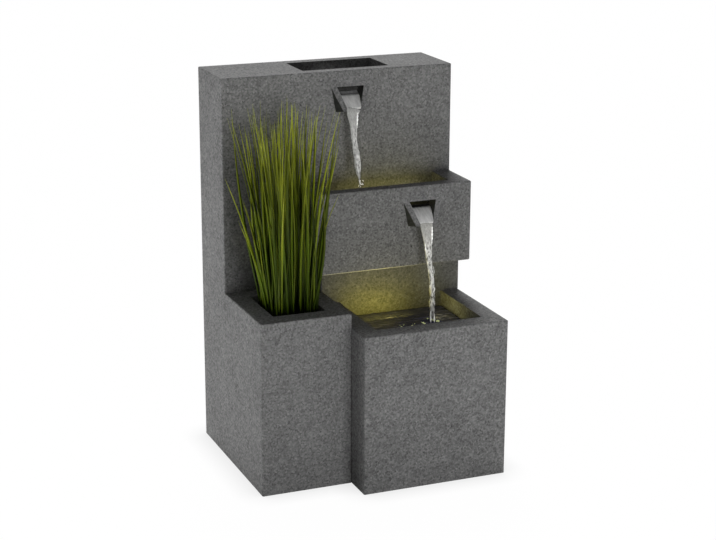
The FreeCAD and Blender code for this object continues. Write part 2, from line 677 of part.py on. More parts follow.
def top_tray():
    """The trough's tray, bonded by its flange under the tower's top."""
    low = TRAY_FLOOR - TRAY_WALL
    tub = box(
        TROUGH_LEFT - TRAY_WALL, TROUGH_RIGHT + TRAY_WALL, TROUGH_FRONT - TRAY_WALL, TROUGH_BACK + TRAY_WALL,
        low, TRAY_TOP,
    )
    grow = TRAY_WALL + TRAY_FLANGE
    flange = box(
        TROUGH_LEFT - grow, TROUGH_RIGHT + grow, TROUGH_FRONT - grow, TROUGH_BACK + grow,
        TRAY_TOP - TRAY_WALL, TRAY_TOP,
    )
    hollow = box(TROUGH_LEFT, TROUGH_RIGHT, TROUGH_FRONT, TROUGH_BACK, TRAY_FLOOR, TRAY_TOP + CUT)
    solid = upright_round(tub, TRAY_WALL).fuse(upright_round(flange, TRAY_WALL))
    solid = solid.cut(upright_round(hollow, EDGE_ROUND)).removeSplitter()
    solid = solid.cut(duct_hole(UPPER_SPOUT_X, UPPER_SPOUT_TOP, FRONT_WALL_INSIDE, TROUGH_FRONT + CUT))
    below = vec(HOSE_X, RISER_Y, low - CUT)
    above = vec(HOSE_X, RISER_Y, TRAY_FLOOR + CUT)
    return solid.cut(cylinder(BULKHEAD_RADIUS + SEAT_GAP, below, above))


def door_frame():
    """A plastic frame bonded in the service opening, flush with the back, with a lip behind the door."""
    gap = SEAT_GAP
    frame = box(
        OPENING_LEFT + gap, OPENING_RIGHT - gap, BACK_WALL_INSIDE, BACK, DOOR_SILL + gap, OPENING_TOP - gap,
    )
    frame = frame.cut(box(BAY_LEFT, BAY_RIGHT, LIP_FACE, BACK + CUT, BAY_BOTTOM, BAY_TOP))
    frame = frame.cut(box(
        BAY_LEFT + FRAME_LIP, BAY_RIGHT - FRAME_LIP, BACK_WALL_INSIDE - CUT, LIP_FACE + CUT,
        BAY_BOTTOM + FRAME_LIP, BAY_TOP - FRAME_LIP,
    ))
    bore = cylinder(
        PIN_RADIUS + PIN_CLEARANCE,
        vec(HINGE_X, HINGE_Y, BAY_BOTTOM - PIN_INSET), vec(HINGE_X, HINGE_Y, BAY_TOP + PIN_INSET),
    )
    return frame.cut(bore)


def door_gasket():
    """A flat ring at the lip's inner margin."""
    out = FRAME_LIP - GASKET_WIDTH
    face = BACK - DOOR_THICK - SEAT_GAP
    strip = box(BAY_LEFT + out, BAY_RIGHT - out, LIP_FACE, face, BAY_BOTTOM + out, BAY_TOP - out)
    return strip.cut(box(
        BAY_LEFT + FRAME_LIP, BAY_RIGHT - FRAME_LIP, LIP_FACE - CUT, face + CUT,
        BAY_BOTTOM + FRAME_LIP, BAY_TOP - FRAME_LIP,
    ))


def rear_door():
    """The door: a panel with a rolled knuckle, stiffening ribs and a pocket for the latch."""
    low = BAY_BOTTOM + DOOR_GAP
    high = BAY_TOP - DOOR_GAP
    edge = BAY_RIGHT - DOOR_GAP
    inner = BACK - DOOR_THICK
    door = box(HINGE_X, edge, inner, BACK, low, high)
    door = door.fuse(cylinder(KNUCKLE_RADIUS, vec(HINGE_X, HINGE_Y, low), vec(HINGE_X, HINGE_Y, high)))
    rib_left = BAY_LEFT + FRAME_LIP + DOOR_GAP
    rib_right = BAY_RIGHT - FRAME_LIP - DOOR_GAP
    rib_low = BAY_BOTTOM + FRAME_LIP + DOOR_GAP
    rib_high = BAY_TOP - FRAME_LIP - DOOR_GAP
    rib_face = BACK_WALL_INSIDE
    rim = box(rib_left, rib_right, rib_face, inner, rib_low, rib_high)
    rim = rim.cut(box(
        rib_left + DOOR_RIB, rib_right - DOOR_RIB, rib_face - CUT, inner,
        rib_low + DOOR_RIB, rib_high - DOOR_RIB,
    ))
    door = door.fuse(rim)
    for share in (1, 3):
        z = rib_low + (rib_high - rib_low) * share / 4 - DOOR_RIB / 2
        door = door.fuse(box(rib_left, rib_right, rib_face, inner, z, z + DOOR_RIB))
    boss_end = vec(LATCH_X, rib_face, LATCH_Z)
    boss = cylinder(LATCH_POCKET_RADIUS + LATCH_BOSS_WALL, boss_end, vec(LATCH_X, inner, LATCH_Z))
    door = door.fuse(boss).removeSplitter()
    outside = vec(LATCH_X, BACK + CUT, LATCH_Z)
    pocket = vec(LATCH_X, BACK - LATCH_POCKET_DEPTH, LATCH_Z)
    door = door.cut(cylinder(LATCH_POCKET_RADIUS, pocket, outside))
    inside = vec(LATCH_X, rib_face - CUT, LATCH_Z)
    door = door.cut(cylinder(LATCH_SHAFT_RADIUS + RUN_CLEARANCE, inside, outside))
    bore = PIN_RADIUS + PIN_CLEARANCE
    ends = (vec(HINGE_X, HINGE_Y, low - CUT), vec(HINGE_X, HINGE_Y, high + CUT))
    return door.cut(cylinder(bore, *ends))


def hinge_pin():
    """The pin runs through the knuckle into the frame's top and bottom bars."""
    low = vec(HINGE_X, HINGE_Y, BAY_BOTTOM - PIN_INSET)
    return cylinder(PIN_RADIUS, low, vec(HINGE_X, HINGE_Y, BAY_TOP + PIN_INSET))


def latch_knob():
    """A disc and a finger bar inside the pocket, with a shaft through the door."""
    back = BACK - LATCH_POCKET_DEPTH + SEAT_GAP
    disc_radius = LATCH_POCKET_RADIUS - 2 * SEAT_GAP
    disc = cylinder(disc_radius, vec(LATCH_X, back, LATCH_Z), vec(LATCH_X, back + LATCH_DISC, LATCH_Z))
    bar = box(
        LATCH_X - LATCH_BAR / 2, LATCH_X + LATCH_BAR / 2, back, BACK - SEAT_GAP,
        LATCH_Z - disc_radius + CUT, LATCH_Z + disc_radius - CUT,
    )
    shaft_end = BACK_WALL_INSIDE - SEAT_GAP - LATCH_CAM_THICK
    shaft = cylinder(LATCH_SHAFT_RADIUS, vec(LATCH_X, shaft_end, LATCH_Z), vec(LATCH_X, back, LATCH_Z))
    return disc.fuse(bar).fuse(shaft).removeSplitter()


def latch_cam():
    """The cam stands upright when the latch is open and lies behind the frame's lip when it is shut."""
    front = BACK_WALL_INSIDE - SEAT_GAP - LATCH_CAM_THICK
    half = LATCH_CAM_WIDTH / 2
    arm = box(
        LATCH_X - half, LATCH_X + half, front, front + LATCH_CAM_THICK, LATCH_Z, LATCH_Z + LATCH_CAM_LENGTH,
    )
    hub = cylinder(half, vec(LATCH_X, front, LATCH_Z), vec(LATCH_X, front + LATCH_CAM_THICK, LATCH_Z))
    hole = cylinder(
        LATCH_SHAFT_RADIUS, vec(LATCH_X, front - CUT, LATCH_Z), vec(LATCH_X, BACK_WALL_INSIDE, LATCH_Z),
    )
    return arm.fuse(hub).cut(hole).removeSplitter()


def pump_point(x, dy=0.0, dz=0.0):
    """A point at x on the pump's axis, or dy and dz beside it."""
    return vec(x, PUMP_Y + dy, PUMP_Z + dz)


def barb(base, direction):
    """A hose tail of three teeth, as profile points from its base to its tip."""
    points = [(FLOW_RADIUS, 0), (BARB_RADIUS, 0)]
    teeth = int(BARB_LENGTH // BARB_TOOTH)
    for tooth in range(teeth):
        start = tooth * BARB_TOOTH
        points += [(BARB_RADIUS, start + CUT), (BARB_NECK, start + BARB_TOOTH)]
        if tooth < teeth - 1:
            points.append((BARB_RADIUS, start + BARB_TOOTH))
    points += [(BARB_NECK, BARB_LENGTH), (FLOW_RADIUS, BARB_LENGTH)]
    return turned(points, base, direction)


def pump_housing():
    """The sealed motor block with the volute cup and the outlet nozzle in one moulding."""
    half = MOTOR_WIDTH / 2
    foot_plane = WALL + PUMP_FOOT_HEIGHT
    motor_end = VOLUTE_END + MOTOR_LENGTH
    motor = box(VOLUTE_END, motor_end, PUMP_Y - half, PUMP_Y + half, foot_plane, PUMP_Z + half)
    along = [e for e in motor.Edges if abs(e.tangentAt(e.FirstParameter).x) > 0.99]
    motor = motor.makeFillet(MOTOR_ROUND, along)
    cup = cylinder(VOLUTE_RADIUS, pump_point(VOLUTE_FRONT), pump_point(VOLUTE_END + CUT))
    neck = vec(HOSE_X, PUMP_Y, NOZZLE_TOP - BARB_LENGTH)
    nozzle = cylinder(FLOW_RADIUS + NOZZLE_WALL, pump_point(HOSE_X, 0, CHAMBER_RADIUS), neck)
    body = motor.fuse(cup).fuse(nozzle)
    body = body.fuse(barb(neck, vec(0, 0, 1))).removeSplitter()
    body = body.cut(cylinder(CHAMBER_RADIUS, pump_point(VOLUTE_FRONT - CUT), pump_point(CHAMBER_FLOOR)))
    body = body.cut(cylinder(ROTOR_WELL_RADIUS, pump_point(CHAMBER_FLOOR - CUT), pump_point(ROTOR_WELL_END)))
    bush_end = pump_point(ROTOR_WELL_END + BUSH_LENGTH)
    body = body.cut(cylinder(BUSH_RADIUS, pump_point(ROTOR_WELL_END - CUT), bush_end))
    body = body.cut(cylinder(FLOW_RADIUS, pump_point(HOSE_X, 0, CHAMBER_RADIUS / 2), neck + vec(0, 0, CUT)))
    for x, y in cup_places():
        top = foot_plane + CUP_PEG_LENGTH
        body = body.cut(cylinder(CUP_PEG_RADIUS, vec(x, y, foot_plane - CUT), vec(x, y, top)))
    return body


def cup_places():
    """The suction cups stand under the motor block's corners."""
    x0 = VOLUTE_END + SUCTION_CUP_RADIUS
    x1 = VOLUTE_END + MOTOR_LENGTH - SUCTION_CUP_RADIUS
    dy = MOTOR_WIDTH / 2 - SUCTION_CUP_RADIUS
    return [(x, PUMP_Y + side * dy) for x in (x0, x1) for side in (-1, 1)]


def pump_feet():
    """Four suction cups with pegs in the motor block's underside."""
    collar = CUP_PEG_RADIUS + CUP_COLLAR
    top = PUMP_FOOT_HEIGHT + CUP_PEG_LENGTH
    profile = [
        (0, CUP_HOLLOW), (collar, CUP_HOLLOW), (SUCTION_CUP_RADIUS, 0), (SUCTION_CUP_RADIUS, CUP_LIP),
        (collar, PUMP_FOOT_HEIGHT - CUP_LIP), (collar, PUMP_FOOT_HEIGHT), (CUP_PEG_RADIUS, PUMP_FOOT_HEIGHT),
        (CUP_PEG_RADIUS, top), (0, top),
    ]
    return Part.makeCompound([turned(profile, vec(x, y, WALL), vec(0, 0, 1)) for x, y in cup_places()])


def square_plate(size, x0, x1):
    """A plate across the pump's axis with rounded corners."""
    half = size / 2
    plate = box(x0, x1, PUMP_Y - half, PUMP_Y + half, PUMP_Z - half, PUMP_Z + half)
    along = [e for e in plate.Edges if abs(e.tangentAt(e.FirstParameter).x) > 0.99]
    return plate.makeFillet(MOTOR_ROUND, along)


def impeller_cover():
    """The plate that closes the volute, with the suction hole and a spider for the shaft's front bush."""
    plate = square_plate(COVER_SIZE, COVER_FRONT, VOLUTE_FRONT)
    spigot = cylinder(CHAMBER_RADIUS - SEAT_GAP, pump_point(VOLUTE_FRONT - CUT), pump_point(SPIGOT_END))
    plate = plate.fuse(spigot)
    plate = plate.cut(cylinder(SUCTION_RADIUS, pump_point(COVER_FRONT - CUT), pump_point(SPIGOT_END + CUT)))
    hub = cylinder(BUSH_RADIUS + SPIDER_HUB_WALL, pump_point(COVER_FRONT), pump_point(SPIGOT_END))
    arm_half = SPIDER_ARM_WIDTH / 2
    for turn in range(SPIDER_ARMS):
        arm = box(COVER_FRONT, SPIGOT_END, -arm_half, arm_half, 0, SUCTION_RADIUS + CUT)
        arm.rotate(vec(0, 0, 0), vec(1, 0, 0), 360 * turn / SPIDER_ARMS)
        arm.translate(vec(0, PUMP_Y, PUMP_Z))
        hub = hub.fuse(arm)
    plate = plate.fuse(hub).removeSplitter()
    pocket = cylinder(BUSH_RADIUS, pump_point(SPIGOT_END - BUSH_LENGTH), pump_point(SPIGOT_END + CUT))
    return plate.cut(pocket)


def impeller():
    """A back plate with curved vanes and a hub that runs on the shaft."""
    plate_front = CHAMBER_FLOOR - CUT - IMPELLER_PLATE
    wheel = cylinder(IMPELLER_RADIUS, pump_point(plate_front), pump_point(plate_front + IMPELLER_PLATE))
    hub = cylinder(HUB_RADIUS, pump_point(plate_front - VANE_HEIGHT + CUT), pump_point(ROTOR_FRONT))
    wheel = wheel.fuse(hub)
    rim = IMPELLER_RADIUS - VANE_ROOT
    mid = (rim + HUB_RADIUS) / 2
    x = plate_front - VANE_HEIGHT
    for index in range(VANE_COUNT):
        start = 2 * math.pi * index / VANE_COUNT
        sides = []
        for sign in (-1, 1):
            line = []
            for radius, lag in ((HUB_RADIUS - VANE_ROOT, 0), (mid, VANE_LAG_MIDDLE), (rim, VANE_LAG_RIM)):
                angle = start + lag + sign * VANE_THICK / 2 / radius
                line.append(vec(x, PUMP_Y + radius * math.cos(angle), PUMP_Z + radius * math.sin(angle)))
            sides.append(line)
        low, high = sides
        edges = [
            Part.Arc(*low).toShape(),
            Part.LineSegment(low[2], high[2]).toShape(),
            Part.Arc(*reversed(high)).toShape(),
            Part.LineSegment(high[0], low[0]).toShape(),
        ]
        vane = Part.Face(Part.Wire(edges)).extrude(vec(VANE_HEIGHT + IMPELLER_PLATE / 2, 0, 0))
        wheel = wheel.fuse(vane)
    bore = cylinder(SHAFT_RADIUS + PIN_CLEARANCE, pump_point(x - CUT), pump_point(ROTOR_FRONT + CUT))
    return wheel.removeSplitter().cut(bore)


def rotor_magnet():
    """The magnet that the motor's field turns, in the well behind the impeller."""
    magnet = cylinder(ROTOR_RADIUS, pump_point(ROTOR_FRONT), pump_point(ROTOR_FRONT + ROTOR_LENGTH))
    ends = (pump_point(ROTOR_FRONT - CUT), pump_point(ROTOR_FRONT + ROTOR_LENGTH + CUT))
    return magnet.cut(cylinder(SHAFT_RADIUS + PIN_CLEARANCE, *ends))


def rotor_shaft():
    """A fixed ceramic shaft between the two bushes."""
    front = pump_point(SPIGOT_END - BUSH_LENGTH)
    return cylinder(SHAFT_RADIUS, front, pump_point(ROTOR_WELL_END + BUSH_LENGTH))


def shaft_bushes():
    """The rubber sleeves that hold the shaft's two ends."""
    bushes = []
    for start in (SPIGOT_END - BUSH_LENGTH, ROTOR_WELL_END):
        bush = cylinder(BUSH_RADIUS, pump_point(start), pump_point(start + BUSH_LENGTH))
        bore = cylinder(SHAFT_RADIUS, pump_point(start - CUT), pump_point(start + BUSH_LENGTH + CUT))
        bushes.append(bush.cut(bore))
    return Part.makeCompound(bushes)


def strainer_cover():
    """A slotted cap that pulls off the pump's front, with a bearing for the flow dial."""
    cap = square_plate(COVER_SIZE, STRAINER_FRONT, STRAINER_BACK)
    hollow = square_plate(COVER_SIZE - 2 * STRAINER_WALL, STRAINER_FRONT + STRAINER_WALL, STRAINER_BACK + CUT)
    cap = cap.cut(hollow)
    reach = COVER_SIZE / 2 - MOTOR_ROUND
    pitch = 2 * reach / STRAINER_SLOTS
    side_front = STRAINER_FRONT + STRAINER_WALL + STRAINER_SLOT
    side_back = STRAINER_BACK - STRAINER_SLOT
    for index in range(STRAINER_SLOTS + 1):
        y = PUMP_Y - reach + index * pitch
        y0, y1 = y - STRAINER_SLOT / 2, y + STRAINER_SLOT / 2
        cap = cap.cut(box(STRAINER_FRONT - CUT, STRAINER_FRONT + STRAINER_WALL + CUT, y0, y1,
                          PUMP_Z - reach, PUMP_Z + reach))
        cap = cap.cut(box(side_front, side_back, y0, y1, PUMP_Z - COVER_SIZE, PUMP_Z + COVER_SIZE))
    boss_end = STRAINER_FRONT + STRAINER_BOSS_LENGTH
    boss = cylinder(STRAINER_BOSS_RADIUS, dial_point(STRAINER_FRONT), dial_point(boss_end))
    bore = cylinder(
        DIAL_STEM_RADIUS + RUN_CLEARANCE, dial_point(STRAINER_FRONT - CUT), dial_point(boss_end + CUT),
    )
    bridge = box(
        STRAINER_FRONT, STRAINER_FRONT + STRAINER_WALL, PUMP_Y - reach, PUMP_Y + reach,
        PUMP_Z - STRAINER_BRIDGE / 2, PUMP_Z + STRAINER_BRIDGE / 2,
    )
    return cap.fuse(boss).fuse(bridge).removeSplitter().cut(bore)


def dial_point(x, dy=0.0):
    """A point at x on the dial's axis, or dy beside it."""
    return pump_point(x, dy, DIAL_RISE)


def flow_dial():
    """A knob before the strainer, its stem, and a flap that swings down over the suction hole."""
    face = STRAINER_FRONT - SEAT_GAP
    knob = cylinder(DIAL_RADIUS, dial_point(face - DIAL_THICK), dial_point(face))
    z = PUMP_Z + DIAL_RISE
    grip = box(
        face - 2 * DIAL_THICK, face - DIAL_THICK, PUMP_Y - DIAL_RADIUS + CUT, PUMP_Y + DIAL_RADIUS - CUT,
        z - DIAL_GRIP / 2, z + DIAL_GRIP / 2,
    )
    back = STRAINER_BACK - SEAT_GAP
    front = back - FLAP_THICK
    stem = cylinder(DIAL_STEM_RADIUS, dial_point(face - CUT), dial_point(back))
    flap = cylinder(FLAP_RADIUS, dial_point(front, DIAL_RISE), dial_point(back, DIAL_RISE))
    arm = box(front, back, PUMP_Y, PUMP_Y + DIAL_RISE, z - DIAL_STEM_RADIUS, z + DIAL_STEM_RADIUS)
    return knob.fuse(grip).fuse(stem).fuse(flap).fuse(arm).removeSplitter()


def outlet_elbow():
    """A moulded rubber bend from the pump's nozzle to the bulkhead."""
    start = vec(HOSE_X, PUMP_Y, NOZZLE_TOP - HOSE_OVERLAP)
    corner = vec(HOSE_X, PUMP_Y, BULKHEAD_Z)
    end = vec(HOSE_X, BULKHEAD_INNER - BARB_LENGTH + HOSE_OVERLAP, BULKHEAD_Z)
    return bent_tube(start, corner, end, ELBOW_BEND, ELBOW_RADIUS, HOSE_BORE_RADIUS)


def bulkhead_fitting():
    """A threaded fitting through basin and tower with a hose tail at each end."""
    length = BULKHEAD_OUTER - BULKHEAD_INNER
    body = turned(
        [
            (FLOW_RADIUS, 0), (BULKHEAD_FLANGE_RADIUS, 0), (BULKHEAD_FLANGE_RADIUS, BULKHEAD_FLANGE),
            (BULKHEAD_RADIUS, BULKHEAD_FLANGE), (BULKHEAD_RADIUS, length), (FLOW_RADIUS, length),
        ],
        vec(HOSE_X, BULKHEAD_INNER, BULKHEAD_Z), vec(0, 1, 0),
    )
    inner = barb(vec(HOSE_X, BULKHEAD_INNER, BULKHEAD_Z), vec(0, -1, 0))
    outer = barb(vec(HOSE_X, BULKHEAD_OUTER, BULKHEAD_Z), vec(0, 1, 0))
    return body.fuse(inner).fuse(outer).removeSplitter()


def ring(outer, inner, start, end):
    """A round bar between two points with a bore right through."""
    run = end - start
    run.normalize()
    return cylinder(outer, start, end).cut(cylinder(inner, start - run, end + run))


def bulkhead_seals():
    """One rubber washer under the flange in the basin and one under the nut in the tower."""
    seals = []
    for y in (NICHE_BACK - SEAL_THICK, FRONT_WALL_INSIDE):
        seals.append(ring(
            BULKHEAD_FLANGE_RADIUS, BULKHEAD_RADIUS + SEAT_GAP / 2,
            vec(HOSE_X, y, BULKHEAD_Z), vec(HOSE_X, y + SEAL_THICK, BULKHEAD_Z),
        ))
    return Part.makeCompound(seals)


def pipe_nut(origin, direction):
    """The nut of both threaded fittings."""
    nut = hexagon(NUT_FLATS, NUT_THICK, origin, direction)
    unit = vec(direction.x, direction.y, direction.z)
    unit.normalize()
    return nut.cut(cylinder(BULKHEAD_RADIUS + SEAT_GAP / 2, origin - unit, origin + unit * (NUT_THICK + CUT)))


def bulkhead_nut():
    """Tightened from inside the tower."""
    return pipe_nut(vec(HOSE_X, FRONT_WALL_INSIDE + SEAL_THICK, BULKHEAD_Z), vec(0, 1, 0))


def riser_hose():
    """The hose inside the tower: back from the bulkhead, one wide bend, and up to the tray's inlet."""
    start = vec(HOSE_X, RISER_Y - HOSE_BEND - HOSE_OVERLAP, BULKHEAD_Z)
    corner = vec(HOSE_X, RISER_Y, BULKHEAD_Z)
    end = vec(HOSE_X, RISER_Y, RISER_TOP)
    return bent_tube(start, corner, end, HOSE_BEND, HOSE_RADIUS, HOSE_BORE_RADIUS)


def tray_inlet():
    """The fitting in the tray's floor, flange above and hose tail below."""
    top = TRAY_FLOOR + INLET_FLANGE
    length = top - INLET_TAIL
    body = turned(
        [
            (FLOW_RADIUS, 0), (INLET_FLANGE_RADIUS, 0), (INLET_FLANGE_RADIUS, INLET_FLANGE),
            (BULKHEAD_RADIUS, INLET_FLANGE), (BULKHEAD_RADIUS, length), (FLOW_RADIUS, length),
        ],
        vec(HOSE_X, RISER_Y, top), vec(0, 0, -1),
    )
    return body.fuse(barb(vec(HOSE_X, RISER_Y, INLET_TAIL), vec(0, 0, -1))).removeSplitter()


def inlet_nut():
    """Tightened under the tray."""
    return pipe_nut(vec(HOSE_X, RISER_Y, TRAY_FLOOR - TRAY_WALL), vec(0, 0, -1))


def hose_clamp(centre, direction, hose_radius):
    """A band round a hose's end with its screw housing."""
    inner = hose_radius + SEAT_GAP / 2
    half = direction * (CLAMP_WIDTH / 2)
    band = ring(inner + CLAMP_THICK, inner, centre - half, centre + half)
    size = CLAMP_SCREW / 2
    out = inner + CLAMP_THICK / 2
    housing = Part.makeBox(CLAMP_SCREW, CLAMP_SCREW, CLAMP_SCREW, vec(-size, -size, -size))
    housing.translate(centre + vec(-out - size, 0, 0))
    return band.fuse(housing).removeSplitter()


def hose_clamps():
    """The four clamps at the ends of elbow and hose."""
    nozzle_grip = vec(HOSE_X, PUMP_Y, NOZZLE_TOP - HOSE_GRIP)
    elbow_grip = vec(HOSE_X, BULKHEAD_INNER - BARB_LENGTH + HOSE_GRIP, BULKHEAD_Z)
    riser_grip = vec(HOSE_X, BULKHEAD_OUTER + BARB_LENGTH - HOSE_GRIP, BULKHEAD_Z)
    inlet_grip = vec(HOSE_X, RISER_Y, RISER_TOP - HOSE_GRIP)
    return Part.makeCompound([
        hose_clamp(nozzle_grip, vec(0, 0, 1), ELBOW_RADIUS),
        hose_clamp(elbow_grip, vec(0, 1, 0), ELBOW_RADIUS),
        hose_clamp(riser_grip, vec(0, 1, 0), HOSE_RADIUS),
        hose_clamp(inlet_grip, vec(0, 0, 1), HOSE_RADIUS),
    ])


def hose_clip(height):
    """An open ring on a stem and a base that is bonded to the tower's back panel."""
    low, high = height - CLIP_HEIGHT / 2, height + CLIP_HEIGHT / 2
    inner = HOSE_RADIUS + SEAT_GAP
    outer = inner + CLIP_WALL
    saddle = ring(outer, inner, vec(HOSE_X, RISER_Y, low), vec(HOSE_X, RISER_Y, high))
    mouth_half = inner * CLIP_MOUTH
    mouth = box(HOSE_X - mouth_half, HOSE_X + mouth_half, RISER_Y - 2 * outer, RISER_Y, low - CUT, high + CUT)
    stem_half = CLIP_STEM / 2
    stem_start = RISER_Y + inner + CLIP_WALL / 2
    stem = box(HOSE_X - stem_half, HOSE_X + stem_half, stem_start, BACK_WALL_INSIDE, low, high)
    base_half = CLIP_BASE / 2
    base_face = BACK_WALL_INSIDE - CLIP_WALL
    base = box(HOSE_X - base_half, HOSE_X + base_half, base_face, BACK_WALL_INSIDE, low, high)
    return saddle.cut(mouth).fuse(stem).fuse(base).removeSplitter()


def hose_clips():
    """The clips that hold the hose to the back panel."""
    return Part.makeCompound([hose_clip(RISER_TOP - drop) for drop in CLIP_DROPS])


def drain_plug():
    """A rubber plug from inside the tower through to the basin's lowest corner, with a pull tab."""
    origin = vec(PLUG_X, NICHE_BACK, PLUG_HEIGHT)
    shank = PLUG_RADIUS - SEAT_GAP
    seat = FRONT_WALL_INSIDE - NICHE_BACK + SEAT_GAP
    plug = turned(
        [
            (0, 0), (shank - CUT, 0), (shank, CUT), (shank, seat), (PLUG_FLANGE_RADIUS, seat),
            (PLUG_FLANGE_RADIUS, seat + PLUG_FLANGE), (0, seat + PLUG_FLANGE),
        ],
        origin, vec(0, 1, 0),
    )
    face = NICHE_BACK + seat + PLUG_FLANGE
    tab = box(
        PLUG_X - PLUG_FLANGE / 2, PLUG_X + PLUG_FLANGE / 2, face - CUT, face + PLUG_TAB,
        PLUG_HEIGHT - PLUG_RADIUS, PLUG_HEIGHT + PLUG_RADIUS,
    )
    eye_y = face + PLUG_TAB / 2
    eye = cylinder(
        PLUG_RADIUS / 2,
        vec(PLUG_X - PLUG_FLANGE, eye_y, PLUG_HEIGHT), vec(PLUG_X + PLUG_FLANGE, eye_y, PLUG_HEIGHT),
    )
    return plug.fuse(tab.cut(eye)).removeSplitter()


def cable_grommet():
    """A rubber bush in the back panel for the low-voltage lead, flush with the back."""
    hole = CABLE_HOLE_RADIUS - SEAT_GAP
    end = GROMMET_NOSE + WALL
    seat = end - GROMMET_FLANGE
    return turned(
        [
            (CABLE_RADIUS, 0), (hole + GROMMET_NOSE, 0), (hole, GROMMET_NOSE), (hole, seat),
            (GROMMET_FLANGE_RADIUS, seat), (GROMMET_FLANGE_RADIUS, end), (CABLE_RADIUS, end),
        ],
        vec(CABLE_X, BACK_WALL_INSIDE - GROMMET_NOSE, CABLE_HEIGHT), vec(0, 1, 0),
    )


def light_housing(x, y, z):
    """A round cup; the lens closes its top."""
    inner = LIGHT_RADIUS - LIGHT_WALL
    ledge = inner - LENS_LEDGE
    seat = LIGHT_HEIGHT - LENS_THICK
    return turned(
        [
            (0, 0), (LIGHT_RADIUS - CUT, 0), (LIGHT_RADIUS, CUT), (LIGHT_RADIUS, LIGHT_HEIGHT),
            (inner, LIGHT_HEIGHT), (inner, seat), (ledge, seat), (ledge, LIGHT_WALL), (0, LIGHT_WALL),
        ],
        vec(x, y, z), vec(0, 0, 1),
    )


def light_lens(x, y, z):
    """A domed lens that sits on the ledge inside the cup's rim."""
    radius = LIGHT_RADIUS - LIGHT_WALL - SEAT_GAP / 2
    base = LIGHT_HEIGHT - LENS_THICK
    shoulder = (radius * LENS_SHOULDER, LIGHT_HEIGHT + LENS_DOME * LENS_SHOULDER)
    return turned(
        [(0, base), (radius, base), (radius, LIGHT_HEIGHT), shoulder, (0, LIGHT_HEIGHT + LENS_DOME)],
        vec(x, y, z), vec(0, 0, 1),
    )


def light_board(x, y, z):
    """The board on the cup's floor with its ring of diodes."""
    low = z + LIGHT_WALL
    board = cylinder(LIGHT_RADIUS - 2 * LIGHT_WALL, vec(x, y, low), vec(x, y, low + BOARD_THICK))
    half = DIODE_SIZE / 2
    z0 = low + BOARD_THICK / 2
    z1 = low + BOARD_THICK + half
    for index in range(DIODE_COUNT):
        angle = 2 * math.pi * index / DIODE_COUNT
        cx, cy = x + DIODE_CIRCLE * math.cos(angle), y + DIODE_CIRCLE * math.sin(angle)
        board = board.fuse(box(cx - half, cx + half, cy - half, cy + half, z0, z1))
    return board.removeSplitter()


def basin_light_housing():
    """The basin's light has a stud through the bracket."""
    cup = light_housing(BASIN_LIGHT_X, BASIN_LIGHT_Y, BASIN_LIGHT_Z)
    stud_end = vec(BASIN_LIGHT_X, BASIN_LIGHT_Y, BASIN_LIGHT_Z - STUD_LENGTH)
    return cup.fuse(cylinder(STUD_RADIUS, stud_end, vec(BASIN_LIGHT_X, BASIN_LIGHT_Y, BASIN_LIGHT_Z + CUT)))


def light_nut():
    """The thumb nut under the bracket."""
    top = BASIN_LIGHT_Z - BRACKET_THICK
    low = vec(BASIN_LIGHT_X, BASIN_LIGHT_Y, top - THUMB_NUT_THICK)
    return ring(THUMB_NUT_RADIUS, STUD_RADIUS + SEAT_GAP / 2, low, vec(BASIN_LIGHT_X, BASIN_LIGHT_Y, top))


def light_bracket():
    """A bent strip: a tab under the niche's roof, a drop, and a shelf for the basin's light."""
    half = BRACKET_WIDTH / 2
    x0, x1 = BASIN_LIGHT_X - half, BASIN_LIGHT_X + half
    low = BASIN_LIGHT_Z - BRACKET_THICK
    drop = box(x0, x1, BRACKET_Y - BRACKET_THICK, BRACKET_Y, low, NICHE_TOP)
    tab_low = NICHE_TOP - BRACKET_THICK
    tab = box(x0, x1, BRACKET_Y - BRACKET_THICK, BRACKET_Y + BRACKET_TAB, tab_low, NICHE_TOP)
    shelf = box(x0, x1, BASIN_LIGHT_Y - LIGHT_RADIUS, BRACKET_Y, low, low + BRACKET_THICK)
    strip = drop.fuse(tab).fuse(shelf).removeSplitter()
    hole_radius = STUD_RADIUS + SEAT_GAP / 2
    below = vec(BASIN_LIGHT_X, BASIN_LIGHT_Y, low - CUT)
    stud_hole = cylinder(hole_radius, below, vec(BASIN_LIGHT_X, BASIN_LIGHT_Y, BASIN_LIGHT_Z))
    return strip.cut(stud_hole).cut(bracket_screw_bar(hole_radius))


def bracket_screw_bar(radius):
    """What passes through the bracket's tab."""
    y = BRACKET_Y + BRACKET_TAB / 2
    low = vec(BASIN_LIGHT_X, y, NICHE_TOP - BRACKET_THICK)
    return cylinder(radius, low, vec(BASIN_LIGHT_X, y, NICHE_TOP))


def bracket_screw():
    """The bracket's screw, with its head under the tab."""
    y = BRACKET_Y + BRACKET_TAB / 2
    low = NICHE_TOP - BRACKET_THICK
    head = cylinder(SCREW_HEAD_RADIUS, vec(BASIN_LIGHT_X, y, low - SCREW_HEAD), vec(BASIN_LIGHT_X, y, low))
    return head.fuse(bracket_screw_bar(STUD_RADIUS))


def pool_light_foot():
    """The suction foot of the pool's light."""
    return turned(
        [
            (0, LIGHT_FOOT_HOLLOW), (LIGHT_FOOT_NECK, LIGHT_FOOT_HOLLOW), (LIGHT_FOOT_RADIUS, 0),
            (LIGHT_FOOT_RADIUS, CUP_LIP), (LIGHT_FOOT_NECK, LIGHT_FOOT - LIGHT_FOOT_COLLAR),
            (LIGHT_FOOT_NECK, LIGHT_FOOT), (0, LIGHT_FOOT),
        ],
        vec(POOL_LIGHT_X, POOL_LIGHT_Y, POOL_FLOOR), vec(0, 0, 1),
    )


